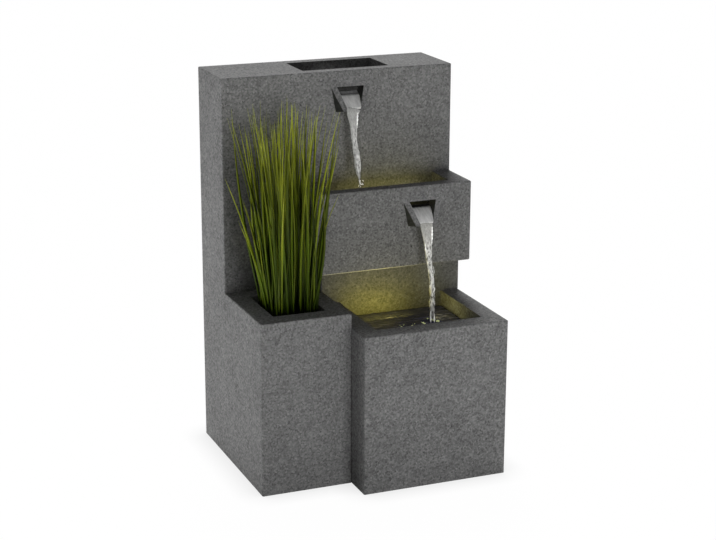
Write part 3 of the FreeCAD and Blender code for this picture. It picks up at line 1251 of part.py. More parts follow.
def body_bolt(x, z, reach):
    """Head and washer inside the tower, shank through its front wall and reach mm beyond it."""
    face = FRONT_WALL_INSIDE
    shank = cylinder(BOLT_RADIUS, vec(x, TOWER_FRONT - reach, z), vec(x, face + CUT, z))
    washer = cylinder(WASHER_RADIUS, vec(x, face, z), vec(x, face + WASHER_THICK, z))
    head = hexagon(BOLT_HEAD_FLATS, BOLT_HEAD, vec(x, face + WASHER_THICK, z), vec(0, 1, 0))
    return shank.fuse(washer).fuse(head).removeSplitter()


def body_bolts():
    """Through bolts hold planter and basin; the other bolts go into inserts in their castings."""
    nut_reach = WALL + WASHER_THICK + BOLT_HEAD
    bolts = [body_bolt(x, z, nut_reach) for x, z in THROUGH_BOLTS]
    bolts += [body_bolt(x, z, BOLT_GRIP - CUT) for x, z in BLIND_BOLTS]
    return Part.makeCompound(bolts)


def body_nuts():
    """Nut and washer of each through bolt, in the hollow of the double wall."""
    nuts = []
    for x, z in THROUGH_BOLTS:
        face = TOWER_FRONT - WALL
        washer = cylinder(WASHER_RADIUS, vec(x, face, z), vec(x, face - WASHER_THICK, z))
        nut = hexagon(BOLT_HEAD_FLATS, BOLT_HEAD, vec(x, face - WASHER_THICK, z), vec(0, -1, 0))
        bore = cylinder(BOLT_RADIUS, vec(x, face + CUT, z), vec(x, face - WASHER_THICK - BOLT_HEAD - CUT, z))
        nuts.append(washer.fuse(nut).removeSplitter().cut(bore))
    return Part.makeCompound(nuts)


def pot_skin(inset, z0, z1):
    """The tapered form of the pot between two heights, drawn in by inset."""
    wires = []
    for z in (z0, z1):
        shrink = inset + POT_TAPER * (POT_TOP - z) / (POT_TOP - WELL_FLOOR)
        half_x, half_y = POT_HALF_X - shrink, POT_HALF_Y - shrink
        wires.append(rounded_rectangle(half_x, half_y, POT_ROUND, PLANTER_X, PLANTER_Y, z))
    return Part.makeLoft(wires, True, True)


def plant_pot():
    """A tapered plastic pot with a lip, standing on the well's floor."""
    inset = POT_LIP - POT_CLEARANCE
    shell = pot_skin(inset, WELL_FLOOR, POT_TOP).fuse(pot_skin(0, POT_TOP - 2 * POT_LIP, POT_TOP))
    shell = shell.cut(pot_skin(inset + POT_WALL, WELL_FLOOR + POT_WALL, POT_TOP))
    for step in (-1, 1):
        y = PLANTER_Y + step * WELL_DRAIN_PITCH
        low = vec(PLANTER_X, y, WELL_FLOOR - CUT)
        shell = shell.cut(cylinder(WELL_DRAIN_RADIUS, low, vec(PLANTER_X, y, WELL_FLOOR + POT_WALL + CUT)))
    return shell


def potting_soil():
    """The filling of the pot up to the crown of the plant."""
    inset = POT_LIP - POT_CLEARANCE + POT_WALL + SEAT_GAP / 3
    return pot_skin(inset, WELL_FLOOR + POT_WALL, SOIL_TOP)


def blade_frame(index):
    """Foot, lean and length of one blade: a sunflower pattern whose outer blades lean out most."""
    share = math.sqrt((index + 0.5) / GRASS_BLADES)
    angle = index * GOLDEN_ANGLE
    cos_a, sin_a = math.cos(angle), math.sin(angle)
    inset = POT_LIP + POT_WALL + BLADE_WIDTH
    foot = vec(
        PLANTER_X + share * (POT_HALF_X - inset) * cos_a,
        PLANTER_Y + share * (POT_HALF_Y - inset) * sin_a,
        GRASS_BASE,
    )
    lean_x = GRASS_LEAN_RIGHT if cos_a > 0 else GRASS_LEAN_LEFT
    lean_y = GRASS_LEAN_BACK if sin_a > 0 else GRASS_LEAN_FRONT
    wave = 0.5 + 0.5 * math.sin(2.4 * index)
    length = GRASS_HEIGHT * (1 - BLADE_SHORTER * wave * share)
    reach = share * (1 - BLADE_UPRIGHTER * math.sin(1.7 * index) ** 2)
    return foot, vec(lean_x * reach * cos_a, lean_y * reach * sin_a, 0), length, angle


def grass_blade(index):
    """One blade: a folded strip that narrows to its tip, lofted along its bend."""
    foot, lean, length, angle = blade_frame(index)
    across = vec(-math.sin(angle), math.cos(angle), 0)
    out = vec(math.cos(angle), math.sin(angle), 0)
    wires = []
    for step in range(BLADE_SPANS + 1):
        share = step / BLADE_SPANS
        centre = foot + lean * share ** 2 + vec(0, 0, length * share)
        width = BLADE_WIDTH * (1 - (1 - BLADE_TIP_WIDTH) * share ** BLADE_TAPER) / 2
        thick = BLADE_THICK * (1 - (1 - BLADE_TIP_THICK) * share)
        corners = [centre + across * width, centre + out * thick, centre - across * width]
        wires.append(Part.makePolygon(corners + corners[:1]))
    return Part.makeLoft(wires, True, True)


def grass_tuft():
    """The crown on the soil and the blades that stand on it."""
    half_x = POT_HALF_X - POT_LIP - POT_WALL - SEAT_GAP
    half_y = POT_HALF_Y - POT_LIP - POT_WALL - SEAT_GAP
    wire = rounded_rectangle(half_x, half_y, POT_ROUND, PLANTER_X, PLANTER_Y, SOIL_TOP)
    crown = Part.Face(wire).extrude(vec(0, 0, GRASS_CROWN))
    return Part.makeCompound([crown] + [grass_blade(index) for index in range(GRASS_BLADES)])


NODES = {
    "tower_shell": tower_shell,
    "back_panel": back_panel,
    "planter_box": planter_box,
    "basin_tub": basin_tub,
    "basin_liner": basin_liner,
    "wall_block": wall_block,
    "cascade_block": cascade_block,
    "top_tray": top_tray,
    "upper_spout": lambda: spout(UPPER_SPOUT_X, TOWER_FRONT, UPPER_SPOUT_TOP, TROUGH_FRONT_RIM),
    "lower_spout": lambda: spout(LOWER_SPOUT_X, BLOCK_FRONT, LOWER_SPOUT_TOP, POOL_FRONT_RIM),
    "body_bolts": body_bolts,
    "body_nuts": body_nuts,
    "door_frame": door_frame,
    "door_gasket": door_gasket,
    "rear_door": rear_door,
    "hinge_pin": hinge_pin,
    "latch_knob": latch_knob,
    "latch_cam": latch_cam,
    "pump_housing": pump_housing,
    "pump_feet": pump_feet,
    "impeller_cover": impeller_cover,
    "impeller": impeller,
    "rotor_magnet": rotor_magnet,
    "rotor_shaft": rotor_shaft,
    "shaft_bushes": shaft_bushes,
    "strainer_cover": strainer_cover,
    "flow_dial": flow_dial,
    "outlet_elbow": outlet_elbow,
    "bulkhead_fitting": bulkhead_fitting,
    "bulkhead_seals": bulkhead_seals,
    "bulkhead_nut": bulkhead_nut,
    "riser_hose": riser_hose,
    "tray_inlet": tray_inlet,
    "inlet_nut": inlet_nut,
    "hose_clamps": hose_clamps,
    "hose_clips": hose_clips,
    "drain_plug": drain_plug,
    "cable_grommet": cable_grommet,
    "basin_light_housing": basin_light_housing,
    "basin_light_board": lambda: light_board(BASIN_LIGHT_X, BASIN_LIGHT_Y, BASIN_LIGHT_Z),
    "basin_light_lens": lambda: light_lens(BASIN_LIGHT_X, BASIN_LIGHT_Y, BASIN_LIGHT_Z),
    "light_bracket": light_bracket,
    "light_nut": light_nut,
    "bracket_screw": bracket_screw,
    "pool_light_housing": lambda: light_housing(POOL_LIGHT_X, POOL_LIGHT_Y, POOL_LIGHT_Z),
    "pool_light_board": lambda: light_board(POOL_LIGHT_X, POOL_LIGHT_Y, POOL_LIGHT_Z),
    "pool_light_lens": lambda: light_lens(POOL_LIGHT_X, POOL_LIGHT_Y, POOL_LIGHT_Z),
    "pool_light_foot": pool_light_foot,
    "plant_pot": plant_pot,
    "potting_soil": potting_soil,
    "grass_tuft": grass_tuft,
}

os.makedirs("parts", exist_ok=True)
for name, make in NODES.items():
    shape = make()
    shape.exportStep(os.path.join("parts", name + ".step"))
    state = "valid" if shape.isValid() else "NOT VALID"
    print(name, state, len(shape.Solids), round(shape.Volume / 1000, 2), "cm3")
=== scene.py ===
"""Dresses a garden wall fountain: cast stone, running water, grass, lamplight, and a pale studio round it."""

import logging
import math
import random
from dataclasses import dataclass
from enum import Enum
from functools import reduce
from typing import Callable, Optional, Sequence, Union

import bmesh
import bpy
from mathutils import Matrix, Vector, noise


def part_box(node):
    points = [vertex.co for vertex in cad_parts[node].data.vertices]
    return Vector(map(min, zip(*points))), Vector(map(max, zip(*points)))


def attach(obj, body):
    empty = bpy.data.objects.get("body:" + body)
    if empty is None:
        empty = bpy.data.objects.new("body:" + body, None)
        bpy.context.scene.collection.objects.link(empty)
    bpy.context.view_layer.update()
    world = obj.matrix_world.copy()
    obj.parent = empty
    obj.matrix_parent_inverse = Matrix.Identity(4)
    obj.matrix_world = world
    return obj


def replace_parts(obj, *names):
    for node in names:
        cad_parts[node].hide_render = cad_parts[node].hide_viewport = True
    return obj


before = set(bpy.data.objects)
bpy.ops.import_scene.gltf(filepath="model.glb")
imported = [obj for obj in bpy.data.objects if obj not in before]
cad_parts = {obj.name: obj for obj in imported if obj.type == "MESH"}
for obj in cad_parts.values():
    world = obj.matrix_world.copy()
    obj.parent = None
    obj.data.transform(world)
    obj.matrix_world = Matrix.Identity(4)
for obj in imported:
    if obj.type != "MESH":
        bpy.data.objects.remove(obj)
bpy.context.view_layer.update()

LOG = logging.getLogger("fountain")
MM = 0.001
Triple = tuple[float, float, float]
Ends = tuple[float, float, float, float]
Stops = tuple[tuple[float, Triple], ...]
Socket = bpy.types.NodeSocket
Shape = bmesh.types.BMesh
Vert = bmesh.types.BMVert
Piece = bpy.types.Object
Feed = Union[Socket, float, Sequence[float]]


class Body(Enum):
    """The bodies that new pieces ride on."""

    FOUNTAIN = "fountain"
    PLANTING = "planting"


class Slot(Enum):
    """Names of three of the record's material slots; nothing in the script uses them."""

    BOARD = "lamp_board"
    GRASS = "grass"
    SOIL = "soil"


class Cells(Enum):
    """What a pattern of small cells gives: a random value for each, or the distance from its middle."""

    CHIPS = "Color"
    PITS = "Distance"


class Grain(Enum):
    """Which way a pattern's lines run, as its stretch on each axis."""

    ROUND = (1.0, 1.0, 1.0)
    ALONG_Y = (1.0, 0.12, 1.0)
    ALONG_Z = (1.0, 1.0, 0.05)


class Tree:
    """The node tree of a material or a world."""

    def __init__(self, owner: Union[bpy.types.Material, bpy.types.World]) -> None:
        """Takes up a tree.

        Args:
            owner: the material or world that it belongs to.
        """
        owner.use_nodes = True
        self.nodes = owner.node_tree.nodes
        self.links = owner.node_tree.links

    def add(self, kind: str, feeds: dict[Union[str, int], Feed], **settings: object) -> bpy.types.Node:
        """Adds a node.

        Args:
            kind: the node's type, without the word ShaderNode.
            feeds: what goes into each of its inputs, as a socket to link or a plain value.
            settings: the node's own options.

        Returns:
            The new node.
        """
        node = self.nodes.new("ShaderNode" + kind)
        for name, value in settings.items():
            setattr(node, name, value)
        for name, value in feeds.items():
            self.feed(node.inputs[name], value)
        return node

    def feed(self, socket: Socket, value: Feed) -> None:
        """Links an input socket or sets it.

        Args:
            socket: the input.
            value: a socket, a number, or a colour without its alpha.
        """
        if isinstance(value, Socket):
            self.links.new(value, socket)
        else:
            socket.default_value = (*value, 1.0) if socket.type == "RGBA" else value

    def joined(self, operation: str, values: Sequence[Feed]) -> Socket:
        """Joins two values or more, one after the other, by one operation."""
        return reduce(
            lambda one, two: self.add("Math", {0: one, 1: two}, operation=operation).outputs[0], values,
        )

    def sum(self, *values: Feed) -> Socket:
        """Adds values."""
        return self.joined("ADD", values)

    def times(self, *values: Feed) -> Socket:
        """Multiplies values."""
        return self.joined("MULTIPLY", values)

    def spread(self, value: Socket, low: float, high: float, start: float = 0.0, end: float = 1.0) -> Socket:
        """Maps the range from low to high to the one from start to end, clamped at both ends."""
        return self.add("MapRange", {0: value, 1: low, 2: high, 3: start, 4: end}).outputs[0]

    def blend(self, share: Socket, first: Feed, second: Feed) -> Socket:
        """Mixes two values, the second one by a share."""
        return self.add("Mix", {0: share, 2: first, 3: second}).outputs[0]

    def mix(self, share: Feed, first: Feed, second: Feed) -> Socket:
        """Mixes two colours, the second one by a share."""
        return self.add("Mix", {0: share, 6: first, 7: second}, data_type="RGBA").outputs[2]


class Recipe(Tree):
    """A material's tree round its Principled shader, in the object's own coordinates."""

    def __init__(self, name: str) -> None:
        """Starts the material.

        Args:
            name: its name.
        """
        self.material = bpy.data.materials.new(name)
        super().__init__(self.material)
        self.shader = self.nodes["Principled BSDF"]
        self.place = self.add("TexCoord", {}).outputs["Object"]

    def axes(self) -> Sequence[Socket]:
        """The object's coordinates X, Y and Z."""
        return self.add("SeparateXYZ", {0: self.place}).outputs

    def read(self, name: str) -> Socket:
        """The value that a piece's points carry under a name."""
        return self.add("Attribute", {}, attribute_name=name).outputs["Fac"]

    def cloud(
        self, scale: float, detail: float = 3.0, rough: float = 0.6, stretch: Optional[Triple] = None,
    ) -> Socket:
        """A soft noise from 0 to 1.

        Args:
            scale: how many features there are in a metre.
            detail: how many finer layers it has.
            rough: how strong the finer layers are.
            stretch: what the coordinates are multiplied by on each axis, or none.

        Returns:
            The noise's value.
        """
        place = self.place
        if stretch:
            place = self.add("Mapping", {"Vector": place, "Scale": stretch}).outputs[0]
        feeds = {"Vector": place, "Scale": scale, "Detail": detail, "Roughness": rough}
        return self.add("TexNoise", feeds).outputs[0]

    def cells(self, scale: float, kind: Cells) -> Socket:
        """A pattern of small cells, so many of them in a metre."""
        return self.add("TexVoronoi", {"Vector": self.place, "Scale": scale}).outputs[kind.value]

    def shades(self, value: Socket, stops: Stops) -> Socket:
        """Colours a value.

        Args:
            value: what picks the colour.
            stops: the places from 0 to 1 and their colours.

        Returns:
            The colour.
        """
        node = self.add("ValToRGB", {0: value})
        line = node.color_ramp.elements
        while len(line) < len(stops):
            line.new(1.0)
        for element, (place, colour) in zip(line, stops):
            element.position = place
            element.color = (*colour, 1.0)
        return node.outputs[0]

    def relief(self, height: Socket, depth: float, strength: float) -> None:
        """Gives the shader a bumpy normal.

        Args:
            height: the relief's height from 0 to 1.
            depth: its real depth in metres.
            strength: how much of it shows.
        """
        bump = self.add("Bump", {"Height": height, "Distance": depth, "Strength": strength})
        self.feed(self.shader.inputs["Normal"], bump.outputs[0])

    def shade(self, **feeds: Feed) -> bpy.types.Material:
        """Feeds the shader's sockets by their names, with _ for a space, and returns the material."""
        for name, value in feeds.items():
            self.feed(self.shader.inputs[name.replace("_", " ")], value)
        return self.material


def tints(colour: Triple, *stops: tuple[float, float]) -> Stops:
    """A colour's tones, from stops that each give a place from 0 to 1 and the share of the colour there."""
    return tuple((place, tuple(part * share for part in colour)) for place, share in stops)


@dataclass(frozen=True)
class WetAndShadeZone:
    """The space where the stone is darkened, in metres, and the share of its tone that is left: wet stone
    under water, and painted shade in hollows and under the block's overhang.
    """

    low: Triple
    high: Triple
    share: float = 0.45

    def mask(self, recipe: Recipe, grain: Socket) -> Socket:
        """How dark the stone is at a point, with a ragged upper edge.

        Args:
            recipe: the material's tree.
            grain: the noise that makes the edge ragged.

        Returns:
            1 where the stone is darkened and 0 elsewhere.
        """
        axes = recipe.axes()
        ragged = recipe.sum(axes[2], recipe.spread(grain, 0.3, 0.7, -3 * MM, 3 * MM))
        sides = [
            recipe.spread(ragged, self.high[2], self.high[2] + 4 * MM, 1.0, 0.0),
            recipe.spread(axes[2], self.low[2] - 2 * MM, self.low[2]),
        ]
        for axis in (0, 1):
            sides.append(recipe.spread(axes[axis], self.low[axis] - MM, self.low[axis]))
            sides.append(recipe.spread(axes[axis], self.high[axis], self.high[axis] + MM, 1.0, 0.0))
        return recipe.times(*sides)


@dataclass(frozen=True)
class PaintedHighlightEdge:
    """A casting's lower front edge with a painted highlight of warm lamplight, in metres."""

    front: float
    low: float
    fade: tuple[float, float]
    reach: float = 2.3 * MM
    colour: Triple = (0.4, 0.39, 0.32)

    def mask(self, recipe: Recipe, grain: Socket) -> Socket:
        """How much painted highlight the edge takes at a point.

        Args:
            recipe: the material's tree.
            grain: the noise that makes the highlight uneven.

        Returns:
            1 on the highlighted edge and 0 away from it.
        """
        axes = recipe.axes()
        sides = [recipe.spread(grain, 0.3, 0.6, 0.35, 1.0), recipe.spread(axes[0], *self.fade, 1.0, 0.0)]
        for value, edge in ((axes[1], self.front), (axes[2], self.low)):
            sides.append(recipe.spread(value, edge + self.reach - 0.8 * MM, edge + self.reach, 1.0, 0.0))
        return recipe.times(*sides)


@dataclass(frozen=True)
class PaintedShadeChute:
    """A spout darkened everywhere behind its sloping front, in metres: painted shade on its sides and inside,
    where running water also wets it.
    """

    face: float
    top: float
    reach: float = 22.0 * MM
    height: float = 47.0 * MM
    share: float = 0.16

    def mask(self, recipe: Recipe) -> Socket:
        """How much painted shade the spout takes at a point.

        Args:
            recipe: the material's tree.

        Returns:
            1 behind the sloping front and 0 on it.
        """
        axes = recipe.axes()
        slope = self.reach / self.height
        depth = recipe.sum(axes[1], recipe.times(axes[2], -slope))
        front = self.face - slope * self.top
        return recipe.spread(depth, front + 0.6 * MM, front + 1.4 * MM)


@dataclass(frozen=True)
class PaintedShadeFront:
    """A front with painted shade that darkens it towards the bottom, below a height, in metres."""

    face: float
    low: float
    high: float
    share: float = 0.8

    def mask(self, recipe: Recipe) -> Socket:
        """How much painted shade the front takes at a point.

        Args:
            recipe: the material's tree.

        Returns:
            How much of the tone the painted shade takes, and 0 where there is none.
        """
        axes = recipe.axes()
        height = recipe.sum(axes[2], recipe.times(recipe.cloud(14.0), 0.05))
        dark = recipe.spread(height, self.low, self.high, 1.0 - self.share, 0.0)
        return recipe.times(dark, recipe.spread(axes[1], self.face + 0.5 * MM, self.face + 3 * MM, 1.0, 0.0))


@dataclass(frozen=True)
class StoneFinish:
    """Cast stone of dark grey grit: chips of many greys, fine pores and faint clouds."""

    name: str
    colour: Triple = (0.148, 0.148, 0.147)
    contrast: float = 0.76
    chip_scale: float = 290.0
    grain_scale: float = 235.0
    blotch_scale: float = 70.0
    cloud_scale: float = 9.0
    depth: float = 0.16 * MM
    wet_and_shade_colour: Triple = (0.012, 0.013, 0.010)
    wet_rough: float = 0.28
    wet_and_shade: tuple[WetAndShadeZone, ...] = ()
    edge_highlight: Optional[PaintedHighlightEdge] = None
    chute: Optional[PaintedShadeChute] = None
    front_shade: Optional[PaintedShadeFront] = None

    def make(self) -> bpy.types.Material:
        """Builds the material.

        Returns:
            The material.
        """
        recipe = Recipe(self.name)
        grain = recipe.cloud(self.grain_scale, 4.0, 0.7)
        layers = (
            (grain, 0.46), (recipe.cells(self.chip_scale, Cells.CHIPS), 0.26),
            (recipe.cloud(self.cloud_scale, 4.0, 0.55), 0.13), (recipe.cloud(self.blotch_scale), 0.15),
        )
        value = recipe.sum(*(recipe.times(layer, share) for layer, share in layers))
        steps = ((0.26, -1.0), (0.42, -0.35), (0.58, 0.25), (0.76, 1.25))
        tones = tints(self.colour, *((place, 1.0 + step * self.contrast) for place, step in steps))
        colour = recipe.shades(value, tones)
        rough = recipe.spread(grain, 0.3, 0.7, 0.9, 0.72)
        # painted shade: the tower's front darkens towards the bottom
        if self.front_shade:
            colour = recipe.mix(self.front_shade.mask(recipe), colour, (0.0, 0.0, 0.0))
        # wet stone under water and painted shade darken the tone and smooth the stone
        masks = [(zone.mask(recipe, grain), zone.share) for zone in self.wet_and_shade]
        masks += [(self.chute.mask(recipe), self.chute.share)] if self.chute else []
        for mask, share in masks:
            colour = recipe.mix(recipe.times(mask, 1.0 - share), colour, self.wet_and_shade_colour)
            rough = recipe.blend(mask, rough, self.wet_rough)
        # painted highlight: warm lamplight along the block's lower front edge
        if self.edge_highlight:
            colour = recipe.mix(self.edge_highlight.mask(recipe, grain), colour, self.edge_highlight.colour)
        pores = recipe.spread(recipe.cells(self.chip_scale * 0.6, Cells.PITS), 0.05, 0.35)
        recipe.relief(recipe.sum(grain, recipe.times(pores, 0.6)), self.depth, 0.8)
        return recipe.shade(Base_Color=colour, Roughness=rough, Specular_IOR_Level=0.12)


@dataclass(frozen=True)
class Pattern:
    """A surface's pattern: soft clouds, or the chips or pits of small cells."""

    scale: float
    detail: float = 3.0
    rough: float = 0.6
    grain: Grain = Grain.ROUND
    cells: Optional[Cells] = None

    def value(self, recipe: Recipe) -> Socket:
        """Adds the pattern to a material.

        Args:
            recipe: the material's tree.

        Returns:
            The pattern's value from 0 to 1.
        """
        if self.cells:
            return recipe.cells(self.scale, self.cells)
        return recipe.cloud(self.scale, self.detail, self.rough, self.grain.value)


@dataclass(frozen=True)
class PlainFinish:
    """A surface whose tones and roughness follow one pattern.

    Its relief has a depth and a strength and follows the same pattern, or a finer one with a share of the
    first. A finer roughness is added to the first one. Other sockets of the shader have one value all over.
    """

    name: str
    tones: Stops
    marks: Pattern
    rough: Ends
    relief: tuple[float, float]
    fine: Optional[Pattern] = None
    share: float = 0.0
    fine_rough: Optional[Ends] = None
    sockets: tuple[tuple[str, Feed], ...] = ()

    def make(self) -> bpy.types.Material:
        """Builds the material.

        Returns:
            The material.
        """
        recipe = Recipe(self.name)
        marks = self.marks.value(recipe)
        fine = self.fine.value(recipe) if self.fine else marks
        rough = recipe.spread(marks, *self.rough)
        if self.fine_rough:
            rough = recipe.sum(rough, recipe.spread(fine, *self.fine_rough))
        height = recipe.sum(fine, recipe.times(marks, self.share)) if self.share else fine
        recipe.relief(height, *self.relief)
        colour = recipe.shades(marks, self.tones)
        return recipe.shade(Base_Color=colour, Roughness=rough, **dict(self.sockets))


def moulded(
    name: str, colour: Triple, rough: tuple[float, float] = (0.42, 0.58), texture: float = 1400.0,
    depth: float = 0.03 * MM, gloss: float = 0.45,
) -> PlainFinish:
    """Moulded plastic with a fine even texture.

    Args:
        name: the material's name.
        colour: its colour.
        rough: its least and its most roughness.
        texture: how many dimples there are in a metre.
        depth: how deep they are.
        gloss: how much it mirrors.

    Returns:
        The finish.
    """
    return PlainFinish(
        name, tints(colour, (0.3, 0.86), (0.7, 1.12)), Pattern(35.0), (0.3, 0.7, *rough), (depth, 0.6),
        Pattern(texture, 2.0), 0.4, sockets=(("Specular_IOR_Level", gloss),),
    )


def steel(name: str, grain: Grain) -> PlainFinish:
    """Stainless steel with drawn lines and light water marks."""
    return PlainFinish(
        name, tints((0.56, 0.56, 0.55), (0.35, 0.7), (0.6, 1.0), (0.8, 1.2)), Pattern(160.0, 4.0),
        (0.4, 0.8, 0.0, 0.12), (0.01 * MM, 0.5), Pattern(1600.0, 3.0, 0.7, grain),
        fine_rough=(0.3, 0.7, 0.18, 0.3), sockets=(("Metallic", 1.0),),
    )


def lamp_part(name: str, colour: Triple, glow: float, clear: float) -> PlainFinish:
    """A clear warm lens or a glowing diode."""
    return PlainFinish(
        name, tints(colour, (0.0, 1.0), (0.9, 0.72)), Pattern(420.0, cells=Cells.PITS), (0.0, 0.8, 0.06, 0.2),
        (0.2 * MM, 0.4), sockets=(
            ("Transmission_Weight", clear), ("IOR", 1.45),
            ("Emission_Color", colour), ("Emission_Strength", glow),
        ),
    )


@dataclass(frozen=True)
class GrassFinish:
    """Leaf green that goes from a dark foot to a pale yellow-green tip, different on each blade."""

    name: str
    share: str = "along"
    tone: str = "tone"
    foot: Triple = (0.026, 0.05, 0.001)
    middle: Triple = (0.12, 0.185, 0.002)
    top: Triple = (0.23, 0.265, 0.006)
    pale: Triple = (0.5, 0.55, 0.06)
    deep: Triple = (0.004, 0.011, 0.0)
    vein: Triple = (0.006, 0.014, 0.0)

    def make(self) -> bpy.types.Material:
        """Builds the material.

        Returns:
            The material.
        """
        recipe = Recipe(self.name)
        along, tone = recipe.read(self.share), recipe.read(self.tone)
        veins = recipe.cloud(1.0, 2.0, 0.5, (1500.0, 1500.0, 14.0))
        stops = ((0.0, self.foot), (0.4, self.middle), (0.8, self.top), (1.0, self.pale))
        green = recipe.shades(along, stops)
        bright = recipe.mix(recipe.spread(along, 0.0, 1.0, 0.1, 0.6), green, self.pale)
        colour = recipe.mix(recipe.spread(tone, 0.05, 0.5), recipe.mix(0.82, green, self.deep), green)
        colour = recipe.mix(recipe.spread(tone, 0.6, 1.0, 0.0, 0.85), colour, bright)
        colour = recipe.mix(recipe.spread(veins, 0.35, 0.7, 0.35, 0.0), colour, self.vein)
        recipe.relief(veins, 0.15 * MM, 0.7)
        rough = recipe.spread(veins, 0.3, 0.7, 0.5, 0.36)
        return recipe.shade(Base_Color=colour, Roughness=rough, Specular_IOR_Level=0.22)


@dataclass(frozen=True)
class SoilFinish:
    """Dark loose compost with a few pale fibres."""

    name: str
    colour: Triple = (0.022, 0.016, 0.011)
    fibre: Triple = (0.09, 0.065, 0.04)

    def make(self) -> bpy.types.Material:
        """Builds the material.

        Returns:
            The material.
        """
        recipe = Recipe(self.name)
        lumps = recipe.cloud(190.0, 6.0, 0.7)
        fibres = recipe.spread(recipe.cloud(600.0, 1.0, 0.5, (1.0, 0.15, 1.0)), 0.66, 0.74)
        tones = tints(self.colour, (0.3, 0.4), (0.6, 1.0), (0.8, 2.2))
        colour = recipe.mix(fibres, recipe.shades(lumps, tones), self.fibre)
        recipe.relief(lumps, 1.6 * MM, 0.9)
        return recipe.shade(Base_Color=colour, Roughness=recipe.spread(lumps, 0.3, 0.7, 0.95, 0.8))


@dataclass(frozen=True)
class WaterFinish:
    """Moving water: clear or dark in the deep, with streaks of trapped air where it runs."""

    name: str
    deep: Triple
    foam: Triple
    cover: tuple[float, float]
    streaks: Triple = (90.0, 90.0, 90.0)
    foam_range: tuple[float, float] = (0.5, 0.75)
    wave: float = 0.5 * MM
    wave_scale: float = 120.0
    rough: tuple[float, float] = (0.03, 0.18)
    gloss: float = 0.5
    fallen: str = ""
    inside: str = ""
    # a glow here is painted light
    glow: float = 0.0
    shadow: Triple = (0.015, 0.015, 0.015)

    def make(self) -> bpy.types.Material:
        """Builds the material.

        Returns:
            The material.
        """
        recipe = Recipe(self.name)
        air = recipe.spread(recipe.cloud(1.0, 4.0, 0.6, self.streaks), *self.foam_range)
        if self.fallen:
            smooth = recipe.spread(recipe.cloud(1.0, 3.0, 0.5, (420.0, 420.0, 160.0)), 0.2, 0.8, 0.15, 0.6)
            air = recipe.blend(recipe.spread(recipe.read(self.fallen), 0.1, 0.26), smooth, air)
        colour = recipe.mix(air, self.deep, self.foam)
        if self.inside:
            colour = recipe.mix(recipe.spread(recipe.read(self.inside), 0.57, 0.7), colour, self.shadow)
        recipe.relief(recipe.cloud(self.wave_scale, 3.0, 0.55), self.wave, 0.8)
        # the glow of the foam colour is painted light, for the finishes that set one
        return recipe.shade(
            Base_Color=colour, Alpha=recipe.spread(air, 0.0, 1.0, *self.cover),
            Roughness=recipe.spread(air, 0.0, 1.0, *self.rough), Specular_IOR_Level=self.gloss, IOR=1.333,
            Emission_Color=self.foam, Emission_Strength=self.glow,
        )


Finish = Union[StoneFinish, PlainFinish, GrassFinish, SoilFinish, WaterFinish]
Finishes = tuple[tuple[Finish, str], ...]

STONE = StoneFinish("cast_stone")
BASIN_STONE = StoneFinish("basin_stone", wet_and_shade=(
    WetAndShadeZone((-0.021, -0.181, 0.0), (0.211, 0.010, 0.297)),
    # painted shade on the basin's band along the wall's front, under the block's overhang, matching the wall
    WetAndShadeZone((-0.03, 0.012, 0.28), (0.213, 0.03, 0.4), 0.53),
))
TOWER_STONE = StoneFinish(
    # wet where the trough's water runs, and painted shade in the opening behind the upper spout up to its top
    "tower_stone", wet_and_shade=(WetAndShadeZone((-0.03, 0.070, 0.715), (0.08, 0.192, 0.772), 0.3),),
    # painted shade, darker low on the tower's front, where the block below cuts off light
    front_shade=PaintedShadeFront(0.068, 0.62, 0.74),
)
# painted shade: the wall's front under the block's overhang is darkened like wet stone
WALL_STONE = StoneFinish("wall_stone", wet_and_shade=(WetAndShadeZone((-0.3, 0.0, 0.0), (0.3, 0.016, 0.5), 0.5),))
# the block's stone is a darker copy of the stone colour: painted shade that holds its front's tone down
POOL_STONE = StoneFinish(
    "pool_stone", (0.126, 0.126, 0.125), wet_and_shade=(WetAndShadeZone((-0.051, -0.014, 0.0), (0.211, 0.063, 0.529)),),
    # painted highlight of warm lamplight along the block's lower front edge, fading out to the right
    edge_highlight=PaintedHighlightEdge(-0.038, 0.406, (0.06, 0.13)),
)
TROUGH_STONE = StoneFinish("trough_stone", wet_and_shade=(WetAndShadeZone((-0.070, 0.06, 0.0), (0.120, 0.193, 0.766), 0.25),))
# painted shade on both spouts behind their sloping fronts
UPPER_SPOUT_STONE = StoneFinish("upper_spout_stone", chute=PaintedShadeChute(0.068, 0.767))
LOWER_SPOUT_STONE = StoneFinish("lower_spout_stone", chute=PaintedShadeChute(-0.038, 0.542))
BLACK_PLASTIC = moulded("black_plastic", (0.018, 0.018, 0.02))
GREY_PLASTIC = moulded("grey_plastic", (0.1, 0.1, 0.1), (0.5, 0.68), 900.0, 0.06 * MM, 0.35)
WHITE_PLASTIC = moulded("white_plastic", (0.72, 0.72, 0.7), (0.35, 0.5))
POT_PLASTIC = moulded("pot_plastic", (0.016, 0.016, 0.016), (0.35, 0.55), 300.0)
RUBBER = PlainFinish(
    "rubber", ((0.48, (0.028, 0.028, 0.029)), (0.8, (0.075, 0.074, 0.072))), Pattern(90.0, 5.0, 0.65),
    (0.3, 0.8, 0.62, 0.86), (0.04 * MM, 0.7), Pattern(1100.0, 2.0), 1.0,
)
STEEL = steel("stainless", Grain.ROUND)
BRUSHED_STEEL = steel("brushed_stainless", Grain.ALONG_Z)
CLEAR_HOSE = PlainFinish(
    "clear_hose", tints((0.62, 0.66, 0.65), (0.3, 0.82), (0.7, 1.15)), Pattern(60.0, 4.0),
    (0.3, 0.7, 0.14, 0.3), (0.05 * MM, 0.4), Pattern(240.0, 2.0),
    sockets=(("Transmission_Weight", 0.55), ("IOR", 1.45)),
)
